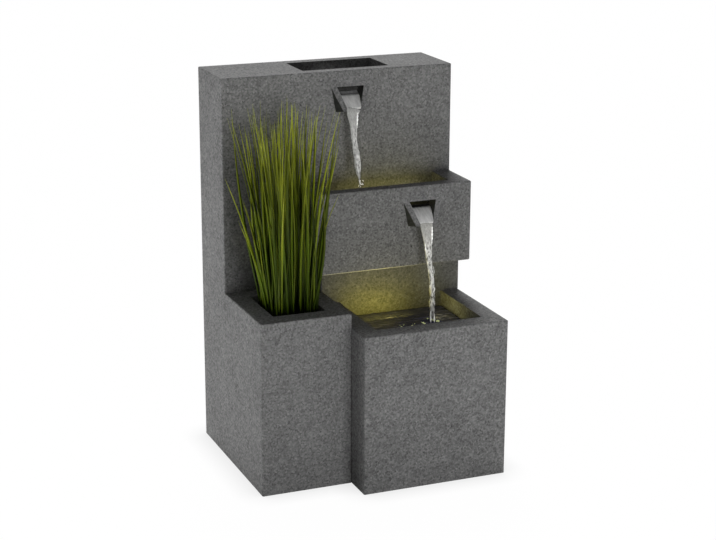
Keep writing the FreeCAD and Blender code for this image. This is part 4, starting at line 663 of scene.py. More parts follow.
CERAMIC = PlainFinish(
    "ceramic", tints((0.8, 0.78, 0.74), (0.3, 0.92), (0.6, 1.0)), Pattern(900.0, 4.0), (0.3, 0.7, 0.2, 0.34),
    (0.01 * MM, 0.5),
)
FERRITE = PlainFinish(
    "ferrite", tints((0.05, 0.05, 0.055), (0.2, 0.6), (0.9, 1.7)), Pattern(1500.0, cells=Cells.CHIPS),
    (0.1, 0.9, 0.38, 0.6), (0.02 * MM, 0.6), sockets=(("Metallic", 0.45),),
)
BOARD = PlainFinish(
    "lamp_board", ((0.56, (0.78, 0.78, 0.74)), (0.6, (0.55, 0.5, 0.36))),
    Pattern(420.0, 0.0, 0.0, Grain.ALONG_Y), (0.3, 0.7, 0.3, 0.45), (0.02 * MM, 0.5),
)
LENS = lamp_part("lamp_lens", (1.0, 0.84, 0.36), 0.25, 0.6)
DIODE = lamp_part("diode", (1.0, 0.82, 0.3), 3.0, 0.0)
GRASS = GrassFinish("grass")
SOIL = SoilFinish("compost")
STILL_WATER = WaterFinish(
    "still_water", (0.022, 0.022, 0.021), (0.06, 0.06, 0.057), (0.95, 0.98), wave=0.25 * MM, rough=(0.1, 0.2),
    gloss=0.08,
)
BASIN_WATER = WaterFinish(
    "basin_water", (0.07, 0.072, 0.13), (0.25, 0.25, 0.4), (0.98, 1.0), (26.0, 170.0, 60.0), (0.52, 0.7),
    1.2 * MM, rough=(0.08, 0.25), gloss=0.17,
)
RUNNING_WATER = WaterFinish(
    "running_water", (0.5, 0.5, 0.495), (0.8, 0.8, 0.79), (1.0, 1.0), (210.0, 40.0, 40.0), (0.3, 0.75),
    0.6 * MM, rough=(0.4, 0.55), gloss=0.04, inside="inside",
)
UPPER_FALL_WATER = WaterFinish(
    "upper_fall_water", (0.19, 0.19, 0.185), (0.68, 0.68, 0.66), (0.97, 1.0), (300.0, 300.0, 130.0),
    (0.32, 0.64), 0.8 * MM, 200.0, (0.3, 0.45), 0.2, "fallen",
)
LOWER_FALL_WATER = WaterFinish(
    "lower_fall_water", (0.13, 0.13, 0.115), (0.84, 0.83, 0.79), (0.97, 1.0), (300.0, 300.0, 110.0),
    (0.36, 0.62), 0.9 * MM, 240.0, (0.25, 0.4), 0.25, "fallen",
)
# painted light: yellow-green foam that glows as if lit by the basin lamp, for the lower splash
PAINTED_LAMPLIT_FOAM = WaterFinish(
    "painted_lamplit_foam", (0.62, 0.68, 0.3), (0.75, 0.8, 0.42), (1.0, 1.0), wave=0.2 * MM, gloss=0.3, glow=0.35,
)
# painted highlight: white water that glows, for the rolls at the streams' edges and the upper splash's drops
PAINTED_HIGHLIGHT_WATER = WaterFinish(
    "painted_highlight_water", (0.9, 0.9, 0.88), (0.98, 0.98, 0.96), (1.0, 1.0), wave=0.2 * MM, glow=0.35,
)
WHITE_WATER = WaterFinish("white_water", (0.8, 0.8, 0.78), (0.98, 0.98, 0.96), (0.9, 1.0), wave=0.2 * MM)


def clamped(value: float, low: float = 0.0, high: float = 1.0) -> float:
    """A value kept between two limits."""
    return min(max(value, low), high)


def meshed(name: str, shape: Shape) -> bpy.types.Mesh:
    """Turns a shape into a mesh and frees it.

    Args:
        name: the mesh's name.
        shape: its bmesh.

    Returns:
        The mesh.
    """
    mesh = bpy.data.meshes.new(name)
    shape.to_mesh(mesh)
    shape.free()
    return mesh


def placed(name: str, data: bpy.types.ID) -> Piece:
    """Puts a new object into the scene.

    Args:
        name: its name.
        data: the mesh, light or camera that it holds.

    Returns:
        The object.
    """
    holder = bpy.data.objects.new(name, data)
    bpy.context.scene.collection.objects.link(holder)
    return holder


def settled(
    name: str, shape: Shape, body: Body, finish: Finish,
    smooth: bool = True,
) -> Piece:
    """Turns a shape into a finished piece that rides on a body.

    Args:
        name: the piece's name.
        shape: its bmesh, which is freed.
        body: the body that it rides on.
        finish: what it is made of.
        smooth: whether its faces are shaded smooth.

    Returns:
        The piece.
    """
    bmesh.ops.recalc_face_normals(shape, faces=shape.faces)
    for face in shape.faces:
        face.smooth = smooth
    mesh = meshed(name, shape)
    mesh.materials.append(finish.make())
    piece = placed(name, mesh)
    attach(piece, body.value)
    LOG.info("made %s with %d faces on %s", name, len(mesh.polygons), body.value)
    return piece


def marked(piece: Piece, name: str, values: Sequence[float]) -> None:
    """Gives each of a piece's points a value under a name that its finish reads."""
    piece.data.attributes.new(name, "FLOAT", "POINT").data.foreach_set("value", values)


def spoke(angle: float, reach: float, height: float = 0.0) -> Vector:
    """The way to a point at an angle, a reach and a height."""
    return Vector((math.cos(angle) * reach, math.sin(angle) * reach, height))


@dataclass(frozen=True)
class Station:
    """A place along a drawn-out form: its middle, where it heads, its half sizes and its turn."""

    middle: Vector
    heading: Vector
    half_width: float
    half_depth: float
    turn: float = 0.0

    def matrix(self) -> Matrix:
        """Turns, sizes and moves a unit ring in the XY plane.

        Returns:
            The matrix that takes it to this place.
        """
        forward = self.heading.normalized()
        side = Vector((1.0, 0.0, 0.0))
        side = (side - forward * side.dot(forward)).normalized()
        axes = Matrix((side, forward.cross(side), forward)).transposed().to_4x4()
        sizes = Matrix.Diagonal((self.half_width, self.half_depth, 1.0, 1.0))
        return Matrix.Translation(self.middle) @ axes @ Matrix.Rotation(self.turn, 4, "Z") @ sizes


def drawn_out(shape: Shape, stations: Sequence[Station], sides: int) -> list[Vert]:
    """Draws a ring out through stations and closes both ends.

    Args:
        shape: the bmesh that it is added to.
        stations: the places, in order.
        sides: how many points the ring has.

    Returns:
        The new vertices.
    """
    ring = bmesh.ops.create_circle(shape, radius=1.0, segments=sides)["verts"]
    edges = list(dict.fromkeys(edge for vert in ring for edge in vert.link_edges))
    here = stations[0].matrix()
    bmesh.ops.transform(shape, matrix=here, verts=ring)
    added, first = list(ring), list(edges)
    for station in stations[1:]:
        there = station.matrix()
        grown = bmesh.ops.extrude_edge_only(shape, edges=edges)["geom"]
        ring = [part for part in grown if isinstance(part, Vert)]
        edges = [part for part in grown if isinstance(part, bmesh.types.BMEdge)]
        edges = [edge for edge in edges if all(vert in ring for vert in edge.verts)]
        bmesh.ops.transform(shape, matrix=there @ here.inverted(), verts=ring)
        added += ring
        here = there
    bmesh.ops.holes_fill(shape, edges=first + edges, sides=0)
    return added


def slab(
    low: Sequence[float], high: Sequence[float], cells: tuple[int, int], lift: Callable[[Vector], Vector],
    lower: Optional[Callable[[Vector], Vector]] = None,
) -> Shape:
    """A closed slab with a fine top.

    Args:
        low: its lowest corner.
        high: its highest corner, at the height of the flat top.
        cells: how many cells the top has along X and Y.
        lift: gives a top point's final place.
        lower: gives an underside point's final place, or none to leave it.

    Returns:
        The bmesh.
    """
    shape = bmesh.new()
    size = Vector(high) - Vector(low)
    middle = Vector(((low[0] + high[0]) / 2, (low[1] + high[1]) / 2, high[2]))
    matrix = Matrix.Translation(middle) @ Matrix.Diagonal((size.x, size.y, 1.0, 1.0))
    bmesh.ops.create_grid(shape, x_segments=cells[0], y_segments=cells[1], size=0.5, matrix=matrix)
    top = list(shape.verts)
    grown = bmesh.ops.extrude_face_region(shape, geom=shape.faces[:])["geom"]
    underside = [part for part in grown if isinstance(part, Vert)]
    bmesh.ops.translate(shape, verts=underside, vec=(0.0, 0.0, -size.z))
    for verts, move in ((top, lift), (underside, lower)):
        for vert in verts if move else ():
            vert.co = move(vert.co.copy())
    return shape


def blob(shape: Shape, middle: Vector, sizes: Sequence[float], spin: random.Random, rough: float) -> None:
    """Adds a small uneven ball.

    Args:
        shape: the bmesh that it is added to.
        middle: where it is.
        sizes: its half sizes on the three axes.
        spin: what turns it.
        rough: how uneven it is, as a share of its size.
    """
    turn = Matrix.Rotation(spin.uniform(0.0, math.tau), 4, "Z")
    turn = turn @ Matrix.Rotation(spin.uniform(-0.5, 0.5), 4, "X")
    matrix = Matrix.Translation(middle) @ turn @ Matrix.Diagonal((*sizes, 1.0))
    for vert in bmesh.ops.create_icosphere(shape, subdivisions=1, radius=1.0, matrix=matrix)["verts"]:
        vert.co += (vert.co - middle) * spin.uniform(-rough, rough)


@dataclass
class SubAssembly:
    """A group of the fountain's pieces that are built and dressed together.

    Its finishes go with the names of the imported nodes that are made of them.
    """

    finishes: Finishes = ()

    def build(self) -> list[Piece]:
        """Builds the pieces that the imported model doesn't hold, and returns them."""
        return []

    def dress(self) -> None:
        """Gives the group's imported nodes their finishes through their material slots."""
        for finish, nodes in self.finishes:
            material = finish.make()
            for name in nodes.split():
                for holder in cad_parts[name].material_slots:
                    holder.material = material
                LOG.info("dressed %s in %s", name, material.name)


@dataclass
class Castings(SubAssembly):
    """The stone castings, from the tower to the basin, darkened where water stands or runs in them, with
    painted shade in hollows, under the block's overhang and low on the tower's front, and a painted highlight
    along the block's lower edge.
    """

    finishes: Finishes = (
        (STONE, "back_panel planter_box"),
        (TOWER_STONE, "tower_shell"),
        (WALL_STONE, "wall_block"),
        (BASIN_STONE, "basin_tub basin_liner"),
        (POOL_STONE, "cascade_block"),
        (TROUGH_STONE, "top_tray"),
        (UPPER_SPOUT_STONE, "upper_spout"),
        (LOWER_SPOUT_STONE, "lower_spout"),
    )


@dataclass(frozen=True)
class Splash:
    """What a stream throws up where it lands: its drops, the reach of its froth and the rise of the drops.

    Flecks of foam float off from it, as far to the left as they drift.
    """

    finish: WaterFinish
    drops: int
    reach: float
    rise: float
    flecks: int = 0
    drift: float = 0.0


@dataclass(frozen=True)
class Fall:
    """One stream: it leaves a spout's lip, narrows and lands in the pool below.

    Its profile lists, down the fall, the share of the drop, the middle's place on X and the width.
    Its rolls, painted highlights that glow white at its edges, list each one's start and end along the
    stream, its side and its half thickness. Places on X, widths and thicknesses are in millimetres.
    """

    name: str
    spout: str
    finish: WaterFinish
    lip: Triple
    landing: Triple
    seed: int
    strands_end: float
    splash: Splash
    rolls: tuple[Ends, ...]
    profile: tuple[Triple, ...]
    shade: float = 0.0
    steps: int = 60
    start_slope: float = 0.9

    def steady(self) -> float:
        """The share of the drop from the speed at the lip, where the water leaves along the ramp."""
        return self.start_slope * (self.lip[1] - self.landing[1]) / (self.lip[2] - self.landing[2])

    def drop(self, along: float) -> float:
        """The share of the drop that is done at a share of the time in the air."""
        return self.steady() * along + (1.0 - self.steady()) * along * along

    def along(self, drop: float) -> float:
        """The share of the time in the air after a share of the drop."""
        steady = self.steady()
        return (math.sqrt(steady * steady + 4.0 * (1.0 - steady) * drop) - steady) / (2.0 * (1.0 - steady))

    def fallen(self, height: float) -> float:
        """The share of the drop that is done at a height."""
        return (self.lip[2] - height) / (self.lip[2] - self.landing[2])

    def between(self, along: float) -> tuple[float, float]:
        """Reads the profile at a share of the stream's time in the air.

        Args:
            along: the share.

        Returns:
            The stream's middle on X and its width there, in millimetres.
        """
        drop = clamped(self.drop(along))
        for (start, *above), (end, *below) in zip(self.profile, self.profile[1:]):
            if drop <= end:
                share = (drop - start) / (end - start)
                return tuple(one + (two - one) * share for one, two in zip(above, below))
        return self.profile[-1][1:]

    def middle(self, along: float) -> Vector:
        """The stream's middle at a share of its time in the air.

        Args:
            along: the share.

        Returns:
            The place, swayed a little to both sides further down.
        """
        start, end = Vector(self.lip), Vector(self.landing)
        sway = 0.7 * MM * math.sin(along * 16.0 + self.seed) * clamped(along * 3.0 - 1.0)
        return Vector((
            self.between(along)[0] * MM + sway,
            start.y + (end.y - start.y) * along,
            start.z + (end.z - start.z) * self.drop(along),
        ))

    def heading(self, along: float) -> Vector:
        """Which way the stream runs there."""
        step = 0.01
        return self.middle(along + step) - self.middle(along - step)

    def half_width(self, along: float) -> float:
        """Half the stream's width there."""
        return self.between(along)[1] * MM / 2


@dataclass
class Waters(SubAssembly):
    """The water: three surfaces, two channels, two streams and their splashes.

    Each surface lists its left, front, right and back edges and its level.
    """

    trough: tuple[float, ...] = (-0.0685, 0.0935, 0.1185, 0.1915, 0.752)
    pool: tuple[float, ...] = (-0.0495, -0.0125, 0.2095, 0.0615, 0.5272)
    basin: tuple[float, ...] = (-0.0195, -0.1795, 0.2095, 0.0145, 0.296)
    cell: float = 2.5 * MM
    depth: float = 7.0 * MM
    ripple_length: float = 17.0 * MM
    ripple_reach: float = 45.0 * MM
    strand_steps: int = 18
    strand_count: int = 8
    froth: int = 18
    channel_floor: float = 28.0 * MM
    channel_lean: float = 0.3605
    floor_rise: float = 8.0 * MM
    throat: float = 46.7 * MM
    weir: float = 24.0 * MM
    film: float = 2.2 * MM
    swell: float = 17.0 * MM
    inflow: float = 1.0 * MM
    upper: Fall = Fall(
        "upper_stream", "upper_spout", UPPER_FALL_WATER,
        (0.0195, 0.0482, 0.7262), (0.0285, 0.020, 0.5275), 3, 0.8,
        Splash(PAINTED_HIGHLIGHT_WATER, 26, 9 * MM, 53 * MM),
        ((0.16, 0.41, 0.9, 1.7),),
        (
            (0.0, 25.0, 29.2), (0.015, 22.3, 29.4), (0.035, 20.0, 26.8), (0.06, 19.0, 24.0),
            (0.1, 19.1, 20.6), (0.17, 19.6, 15.2), (0.27, 19.4, 12.6), (0.34, 20.1, 12.2),
            (0.42, 21.4, 12.8), (0.55, 23.6, 13.0), (0.62, 24.6, 11.0), (0.68, 26.2, 6.6),
            (0.72, 27.8, 2.4), (1.0, 28.5, 2.4),
        ),
    )
    lower: Fall = Fall(
        "lower_stream", "lower_spout", LOWER_FALL_WATER,
        (0.1395, -0.0578, 0.5012), (0.1415, -0.085, 0.2965), 8, 0.98,
        Splash(PAINTED_LAMPLIT_FOAM, 10, 17 * MM, 7 * MM, 9, 78 * MM),
        ((0.14, 0.44, 0.9, 1.7), (0.42, 0.53, -0.8, 1.2), (0.935, 1.0, -0.85, 1.3), (0.95, 1.0, 0.6, 1.3)),
        (
            (0.0, 141.0, 29.2), (0.03, 139.4, 27.2), (0.07, 139.2, 25.0), (0.15, 139.7, 20.3),
            (0.22, 139.6, 16.5), (0.32, 140.3, 14.0), (0.42, 142.2, 13.0), (0.52, 143.8, 12.6),
            (0.63, 144.8, 11.8), (0.75, 145.8, 11.6), (1.0, 145.4, 10.6),
        ), 0.14,
    )

    def surface(
        self, name: str, edges: Sequence[float], finish: WaterFinish,
        fall: Optional[Fall] = None, size: float = 0.0,
    ) -> Piece:
        """Builds one pool's surface.

        Args:
            name: the piece's name.
            edges: its left, front, right and back edges and its level.
            finish: what it is made of.
            fall: the stream that lands in it, or none.
            size: the height of the ripples where it lands.

        Returns:
            The piece.
        """
        left, front, right, back, level = edges

        def ripples(point: Vector) -> Vector:
            """Moves a point of the flat surface up or down."""
            height = 0.35 * MM * noise.noise(point * 55.0) + 0.2 * MM * noise.noise(point * 140.0)
            if fall:
                away = (point.xy - Vector(fall.landing).xy).length
                wave = math.sin(away * math.tau / self.ripple_length - 1.0 + 1.4 * noise.noise(point * 40.0))
                height += size * wave * math.exp(-away / self.ripple_reach)
            return point + Vector((0.0, 0.0, height))

        cells = (round((right - left) / self.cell), round((back - front) / self.cell))
        shape = slab((left, front, level - self.depth), (right, back, level), cells, ripples)
        return settled(name, shape, Body.FOUNTAIN, finish)

    def channel(self, fall: Fall) -> Piece:
        """Builds the water that comes over a spout's weir and runs down its ramp to the lip.

        Args:
            fall: the stream that leaves the lip.

        Returns:
            The piece.
        """
        corner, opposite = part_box(fall.spout)
        x, y, z = Vector(((corner.x + opposite.x) / 2, corner.y, corner.z + self.floor_rise))

        def over_ramp(point: Vector, film: float) -> Vector:
            """Lays a point of the flat sheet over the ramp at a height, as wide as the channel is there."""
            rise = self.weir * min(1.0, (point.y - y) / self.throat) + film
            half = self.channel_floor / 2 + self.channel_lean * rise - 0.2 * MM
            return Vector((x + (point.x - x) * 2 * half, point.y, z + rise))

        def lift(point: Vector) -> Vector:
            """Lays a point of the top on the ramp, swollen behind the lip, with rolls that run down it."""
            share = min(1.0, (point.y - y) / self.throat)
            place = over_ramp(point, self.film + 2.2 * MM * share + self.swell * share * (1.0 - share))
            rolls = 0.6 * MM * noise.noise(Vector((place.x * 170, place.y * 45, 1.0)))
            edge = 0.5 * MM * (abs(point.x - x) * 2) ** 4
            return place + Vector((0.0, 0.0, rolls + edge))

        low, high = (x - 0.5, y + 0.3 * MM, z - self.film), (x + 0.5, y + self.throat + self.inflow, z)
        shape = slab(low, high, (24, 44), lift, lambda point: over_ramp(point, -0.3 * MM))
        name = fall.name.replace("stream", "channel_water")
        piece = settled(name, shape, Body.FOUNTAIN, RUNNING_WATER)
        inside = [(vert.co.y - y) / self.throat - fall.shade for vert in piece.data.vertices]
        marked(piece, RUNNING_WATER.inside, inside)
        return piece

    def stream(self, fall: Fall) -> Piece:
        """Builds a stream's clear core, knotted by noise.

        Vector noise starts from the clock unless it is given a seed, so it gets the stream's.

        Args:
            fall: the stream.

        Returns:
            The piece.
        """
        shape = bmesh.new()
        noise.seed_set(fall.seed)
        stations = []
        for step in range(fall.steps + 1):
            along = fall.along(step / fall.steps)
            half = fall.half_width(along)
            depth = max(1.6 * MM, min(half * 0.7, 1.6 * MM + 6.0 * MM * along))
            turn = 0.4 * math.sin(along * 14.0 + fall.seed) * clamped(along * 2.0 - 0.6)
            stations.append(Station(fall.middle(along), fall.heading(along), half, depth, turn))
        for vert in drawn_out(shape, stations, 18):
            loose = clamped((fall.lip[2] - vert.co.z) / (70 * MM) - 0.25)
            knot = noise.noise_vector(Vector((vert.co.x * 150, vert.co.y * 150, vert.co.z * 110 + fall.seed)))
            along = fall.along(max(0.0, fall.fallen(vert.co.z)))
            vert.co += Vector((knot.x, knot.y, 0.0)) * 0.34 * fall.half_width(along) * loose
        piece = settled(fall.name, shape, Body.FOUNTAIN, fall.finish)
        marked(piece, fall.finish.fallen, [fall.fallen(vert.co.z) for vert in piece.data.vertices])
        surface = piece.modifiers.new("rounding", "SUBSURF")
        surface.levels = surface.render_levels = 1
        return piece

    def strand(
        self, shape: Shape, fall: Fall, start: float, end: float, side: float, thick: float, winds: float,
    ) -> None:
        """Adds one strand that runs along a stream.

        Args:
            shape: the bmesh that it is added to.
            fall: the stream.
            start: where it starts, as a share of the time in the air.
            end: where it ends.
            side: where it runs, from -1 at the stream's left edge to 1 at its right edge.
            thick: its largest half thickness in millimetres.
            winds: how fast it winds from side to side, or 0 for a straight one.
        """
        stations = []
        for step in range(self.strand_steps + 1):
            share = step / self.strand_steps
            along = start + (end - start) * share
            wave, swell = 0.0, 0.35 * math.sin(along * 110.0)
            if winds:
                wave = 0.25 * math.sin(along * winds + side * 9.0)
                swell = 0.5 * noise.noise(Vector((side * 7.0, along * 40.0, fall.seed)))
            middle = fall.middle(along)
            middle.x += (side + wave) * fall.half_width(along)
            middle.y -= (1.4 + 3.4 * along * math.sqrt(max(0.0, 1.0 - side * side))) * MM
            radius = max(0.15 * MM, thick * MM * math.sin(math.pi * (0.06 + 0.88 * share)) * (0.85 + swell))
            stations.append(Station(middle, fall.heading(along), radius, radius * 0.8))
        drawn_out(shape, stations, 7)

    def strands(self, fall: Fall) -> Piece:
        """Builds the white strands that wind along a stream.

        Args:
            fall: the stream.

        Returns:
            The piece.
        """
        shape = bmesh.new()
        spin = random.Random(fall.seed)
        for _ in range(self.strand_count):
            start = spin.uniform(0.46, fall.strands_end - 0.06)
            end = min(fall.strands_end, start + spin.uniform(0.05, 0.14))
            thick = spin.uniform(0.7, 1.3)
            self.strand(shape, fall, start, end, spin.uniform(-0.85, 0.85), thick, spin.uniform(9.0, 18.0))
        return settled(fall.name + "_strands", shape, Body.FOUNTAIN, WHITE_WATER)

    def edges(self, fall: Fall) -> Piece:
        """Builds the bright rolls at a stream's edges: painted highlights that glow white.

        Args:
            fall: the stream.

        Returns:
            The piece.
        """
        shape = bmesh.new()
        for roll in fall.rolls:
            self.strand(shape, fall, *roll, 0.0)
        return settled(fall.name + "_edges", shape, Body.FOUNTAIN, PAINTED_HIGHLIGHT_WATER)

    def splash(self, fall: Fall) -> Piece:
        """Builds the froth where a stream lands, the drops that it throws up and the flecks that float off.

        Args:
            fall: the stream.

        Returns:
            The piece.
        """
        shape = bmesh.new()
        spin = random.Random(fall.seed + 100)
        centre = Vector(fall.landing)
        splash = fall.splash
        for _ in range(self.froth):
            angle = spin.choice((0.0, math.pi)) + spin.gauss(0.0, 0.3)
            away = spin.uniform(0.7, 1.15) * splash.reach
            size = spin.uniform(0.7, 1.6) * MM
            blob(shape, centre + spoke(angle, away, 0.5 * MM), (size * 1.7, size, size * 0.6), spin, 0.15)
        for _ in range(splash.drops):
            angle = spin.uniform(0.0, math.tau)
            away = spin.uniform(0.1, 0.6) * splash.reach
            size = spin.uniform(0.5, 1.1) * MM
            up = splash.rise * (1.0 - 0.27 * spin.random())
            blob(shape, centre + spoke(angle, away, up + MM), (size, size, size * 1.3), spin, 0.1)
        for _ in range(splash.flecks):
            size = spin.uniform(0.45, 1.1) * MM
            away = -splash.drift * spin.uniform(0.2, 1.0)
            place = centre + Vector((away, spin.uniform(-9.0, 5.0) * MM, 0.2 * MM))
            blob(shape, place, (size * 2.4, size, size * 0.4), spin, 0.2)
        return settled(fall.name + "_splash", shape, Body.FOUNTAIN, splash.finish)

    def build(self) -> list[Piece]:
        """Builds all the water.

        Returns:
            The pieces.
        """
        made = [
            self.surface("trough_water", self.trough, STILL_WATER),
            self.surface("pool_water", self.pool, STILL_WATER, self.upper, 0.9 * MM),
            self.surface("basin_water", self.basin, BASIN_WATER, self.lower, 1.2 * MM),
        ]
        falls = (self.upper, self.lower)
        for fall in falls:
            made += [self.channel(fall), self.stream(fall)]
        for builder in (self.strands, self.edges, self.splash):
            made += [builder(fall) for fall in falls]
        return made


@dataclass
class Planting(SubAssembly):
    """The pot, its compost and the tuft of grass."""

    finishes: Finishes = ((POT_PLASTIC, "plant_pot"),)
    blades: int = 170
    rings: int = 9
    blade_width: float = 6.4 * MM
    blade_thick: float = 1.1 * MM
    blade_sink: float = 2.0 * MM
    lean_left: float = 62.0 * MM
    lean_right: float = 52.0 * MM
    lean_deep: float = 40.0 * MM
    long_share: float = 0.62
    centre: tuple[float, float] = (-0.155, -0.0425)
    bed: tuple[float, float] = (0.0475, 0.0630)
    bed_round: float = 10.0 * MM
    bed_depth: float = 26.0 * MM
    foot: tuple[float, float] = (0.0455, 0.0600)
    crumbs: int = 150
    seed: int = 8

    def template(self) -> bpy.types.Mesh:
        """Builds one straight blade of unit height, with a thin three-sided section.

        Returns:
            The blade's mesh.
        """
        shape = bmesh.new()
        up = Vector((0.0, 0.0, 1.0))
        stations = []
        for ring in range(self.rings + 1):
            share = ring / self.rings
            width = (0.62 + 0.38 * math.sin(math.pi * min(1.0, share * 1.25))) * (1.0 - share**4) + 0.05
            thick = self.blade_thick / 2 * (1.2 - share)
            stations.append(Station(Vector((0.0, 0.0, share)), up, self.blade_width / 2 * width, thick))
        drawn_out(shape, stations, 3)
        return meshed("blade", shape)

    def bend(self, verts: Sequence[Vert], spin: random.Random, low: Vector, high: Vector) -> None:
        """Puts one blade in the tuft, fanned out from its foot and bent by its weight.

        Args:
            verts: the blade's vertices, still straight.
            spin: the source of chance.
            low: the lowest corner of the space that the tuft may fill.
            high: the highest corner of that space.
        """
        root = Vector((spin.uniform(-1.0, 1.0), spin.uniform(-1.0, 1.0)))
        foot = Vector((
            self.centre[0] + root.x * self.foot[0],
            self.centre[1] + root.y * self.foot[1],
            low.z - self.blade_sink,
        ))
        reach = self.lean_left if root.x < 0 else self.lean_right
        lean_x = root.x * reach * spin.uniform(0.0, 1.0) + spin.gauss(0.0, 0.018)
        lean_y = root.y * self.lean_deep * spin.uniform(0.0, 1.0) + spin.gauss(0.0, 0.016)
        tall = spin.uniform(0.84, 0.97) if spin.random() < self.long_share else spin.uniform(0.45, 0.85)
        height = (high.z - low.z) * (tall + 0.03 * (1.0 - abs(root.x)))
        bow = spin.uniform(1.2, 2.1)
        facing = Matrix.Rotation(spin.gauss(0.0, 0.7), 3, "Z")
        side_way = spin.gauss(0.0, 0.006)
        for vert in verts:
            share = vert.co.z
            across = facing @ Vector((vert.co.x, vert.co.y, 0.0))
            sway = math.sin(share * math.pi) * side_way
            place = foot + Vector((
                lean_x * share**bow + sway + across.x, lean_y * share**bow + across.y, height * share,
            ))
            for axis in (0, 1):
                place[axis] = clamped(place[axis], low[axis] + 0.5 * MM, high[axis] - 0.5 * MM)
            vert.co = place

    def tuft(self) -> Piece:
        """Builds the grass in place of the plain tuft.

        Returns:
            The piece.
        """
        spin = random.Random(self.seed)
        blade = self.template()
        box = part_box("grass_tuft")
        shape = bmesh.new()
        count = len(blade.vertices)
        along, tones = [], []
        for _ in range(self.blades):
            shape.from_mesh(blade)
            shape.verts.ensure_lookup_table()
            verts = shape.verts[-count:]
            along += [vert.co.z for vert in verts]
            tones += [spin.random()] * count
            self.bend(verts, spin, *box)
        bpy.data.meshes.remove(blade)
        piece = settled("grass_blades", shape, Body.PLANTING, GRASS)
        marked(piece, GRASS.share, along)
        marked(piece, GRASS.tone, tones)
        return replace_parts(piece, "grass_tuft")

    def compost(self) -> Piece:
        """Builds the compost, filling the pot as the plain one does, with an uneven top.

        Returns:
            The piece.
        """
        def rounded(point: Vector) -> Vector:
            """Pulls a point inside the pot's rounded corners."""
            flat = Vector((point.x - self.centre[0], point.y - self.centre[1]))
            core = Vector((self.bed[0] - self.bed_round, self.bed[1] - self.bed_round))
            over = Vector((max(0.0, abs(flat.x) - core.x), max(0.0, abs(flat.y) - core.y)))
            if over.length > self.bed_round:
                over = over.normalized() * self.bed_round
            for axis in (0, 1):
                if abs(flat[axis]) > core[axis]:
                    flat[axis] = math.copysign(core[axis] + over[axis], flat[axis])
            return Vector((flat.x + self.centre[0], flat.y + self.centre[1], point.z))

        def lift(point: Vector) -> Vector:
            """Lifts and dents the top."""
            lumps = 1.6 * noise.noise(point * 60.0) + 0.9 * noise.noise(point * 190.0)
            return rounded(point) + Vector((0.0, 0.0, (lumps - 2.2) * MM))

        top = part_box("potting_soil")[1].z
        start = (self.centre[0] - self.bed[0], self.centre[1] - self.bed[1], top - self.bed_depth)
        end = (self.centre[0] + self.bed[0], self.centre[1] + self.bed[1], top)
        shape = slab(start, end, (38, 50), lift, rounded)
        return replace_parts(settled("compost", shape, Body.PLANTING, SOIL), "potting_soil")

    def crumb_bed(self) -> Piece:
        """Builds loose crumbs on the compost.

        Returns:
            The piece.
        """
        shape = bmesh.new()
        spin = random.Random(self.seed + 1)
        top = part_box("potting_soil")[1].z
        for _ in range(self.crumbs):
            size = spin.uniform(1.2, 3.4) * MM
            x = self.centre[0] + spin.uniform(-1.0, 1.0) * (self.bed[0] - 6 * MM)
            y = self.centre[1] + spin.uniform(-1.0, 1.0) * (self.bed[1] - 6 * MM)
            sizes = (size, size * spin.uniform(0.6, 1.0), size * spin.uniform(0.5, 0.9))
            blob(shape, Vector((x, y, top - 1.6 * MM)), sizes, spin, 0.25)
        return settled("compost_crumbs", shape, Body.PLANTING, SOIL)

    def build(self) -> list[Piece]:
        """Builds the grass and the compost."""
        return [self.tuft(), self.compost(), self.crumb_bed()]


@dataclass(frozen=True)
class Lamp:
    """A soft rectangular light: where it is, the way that it shines, its sides, its power and its colour."""

    name: str
    place: Triple
    way: Triple
    sides: tuple[float, float]
    watts: float
    colour: Triple = (1.0, 1.0, 1.0)

    def shine(self) -> None:
        """Adds the light, out of sight of the camera and of gloss."""
        light = bpy.data.lights.new(self.name, "AREA")
        light.shape = "RECTANGLE"
        light.size, light.size_y = self.sides
        light.energy = self.watts
        light.color = self.colour
        holder = placed(self.name, light)
        holder.location = self.place
        holder.rotation_euler = Vector(self.way).to_track_quat("-Z", "Y").to_euler()
        holder.visible_camera = holder.visible_glossy = False


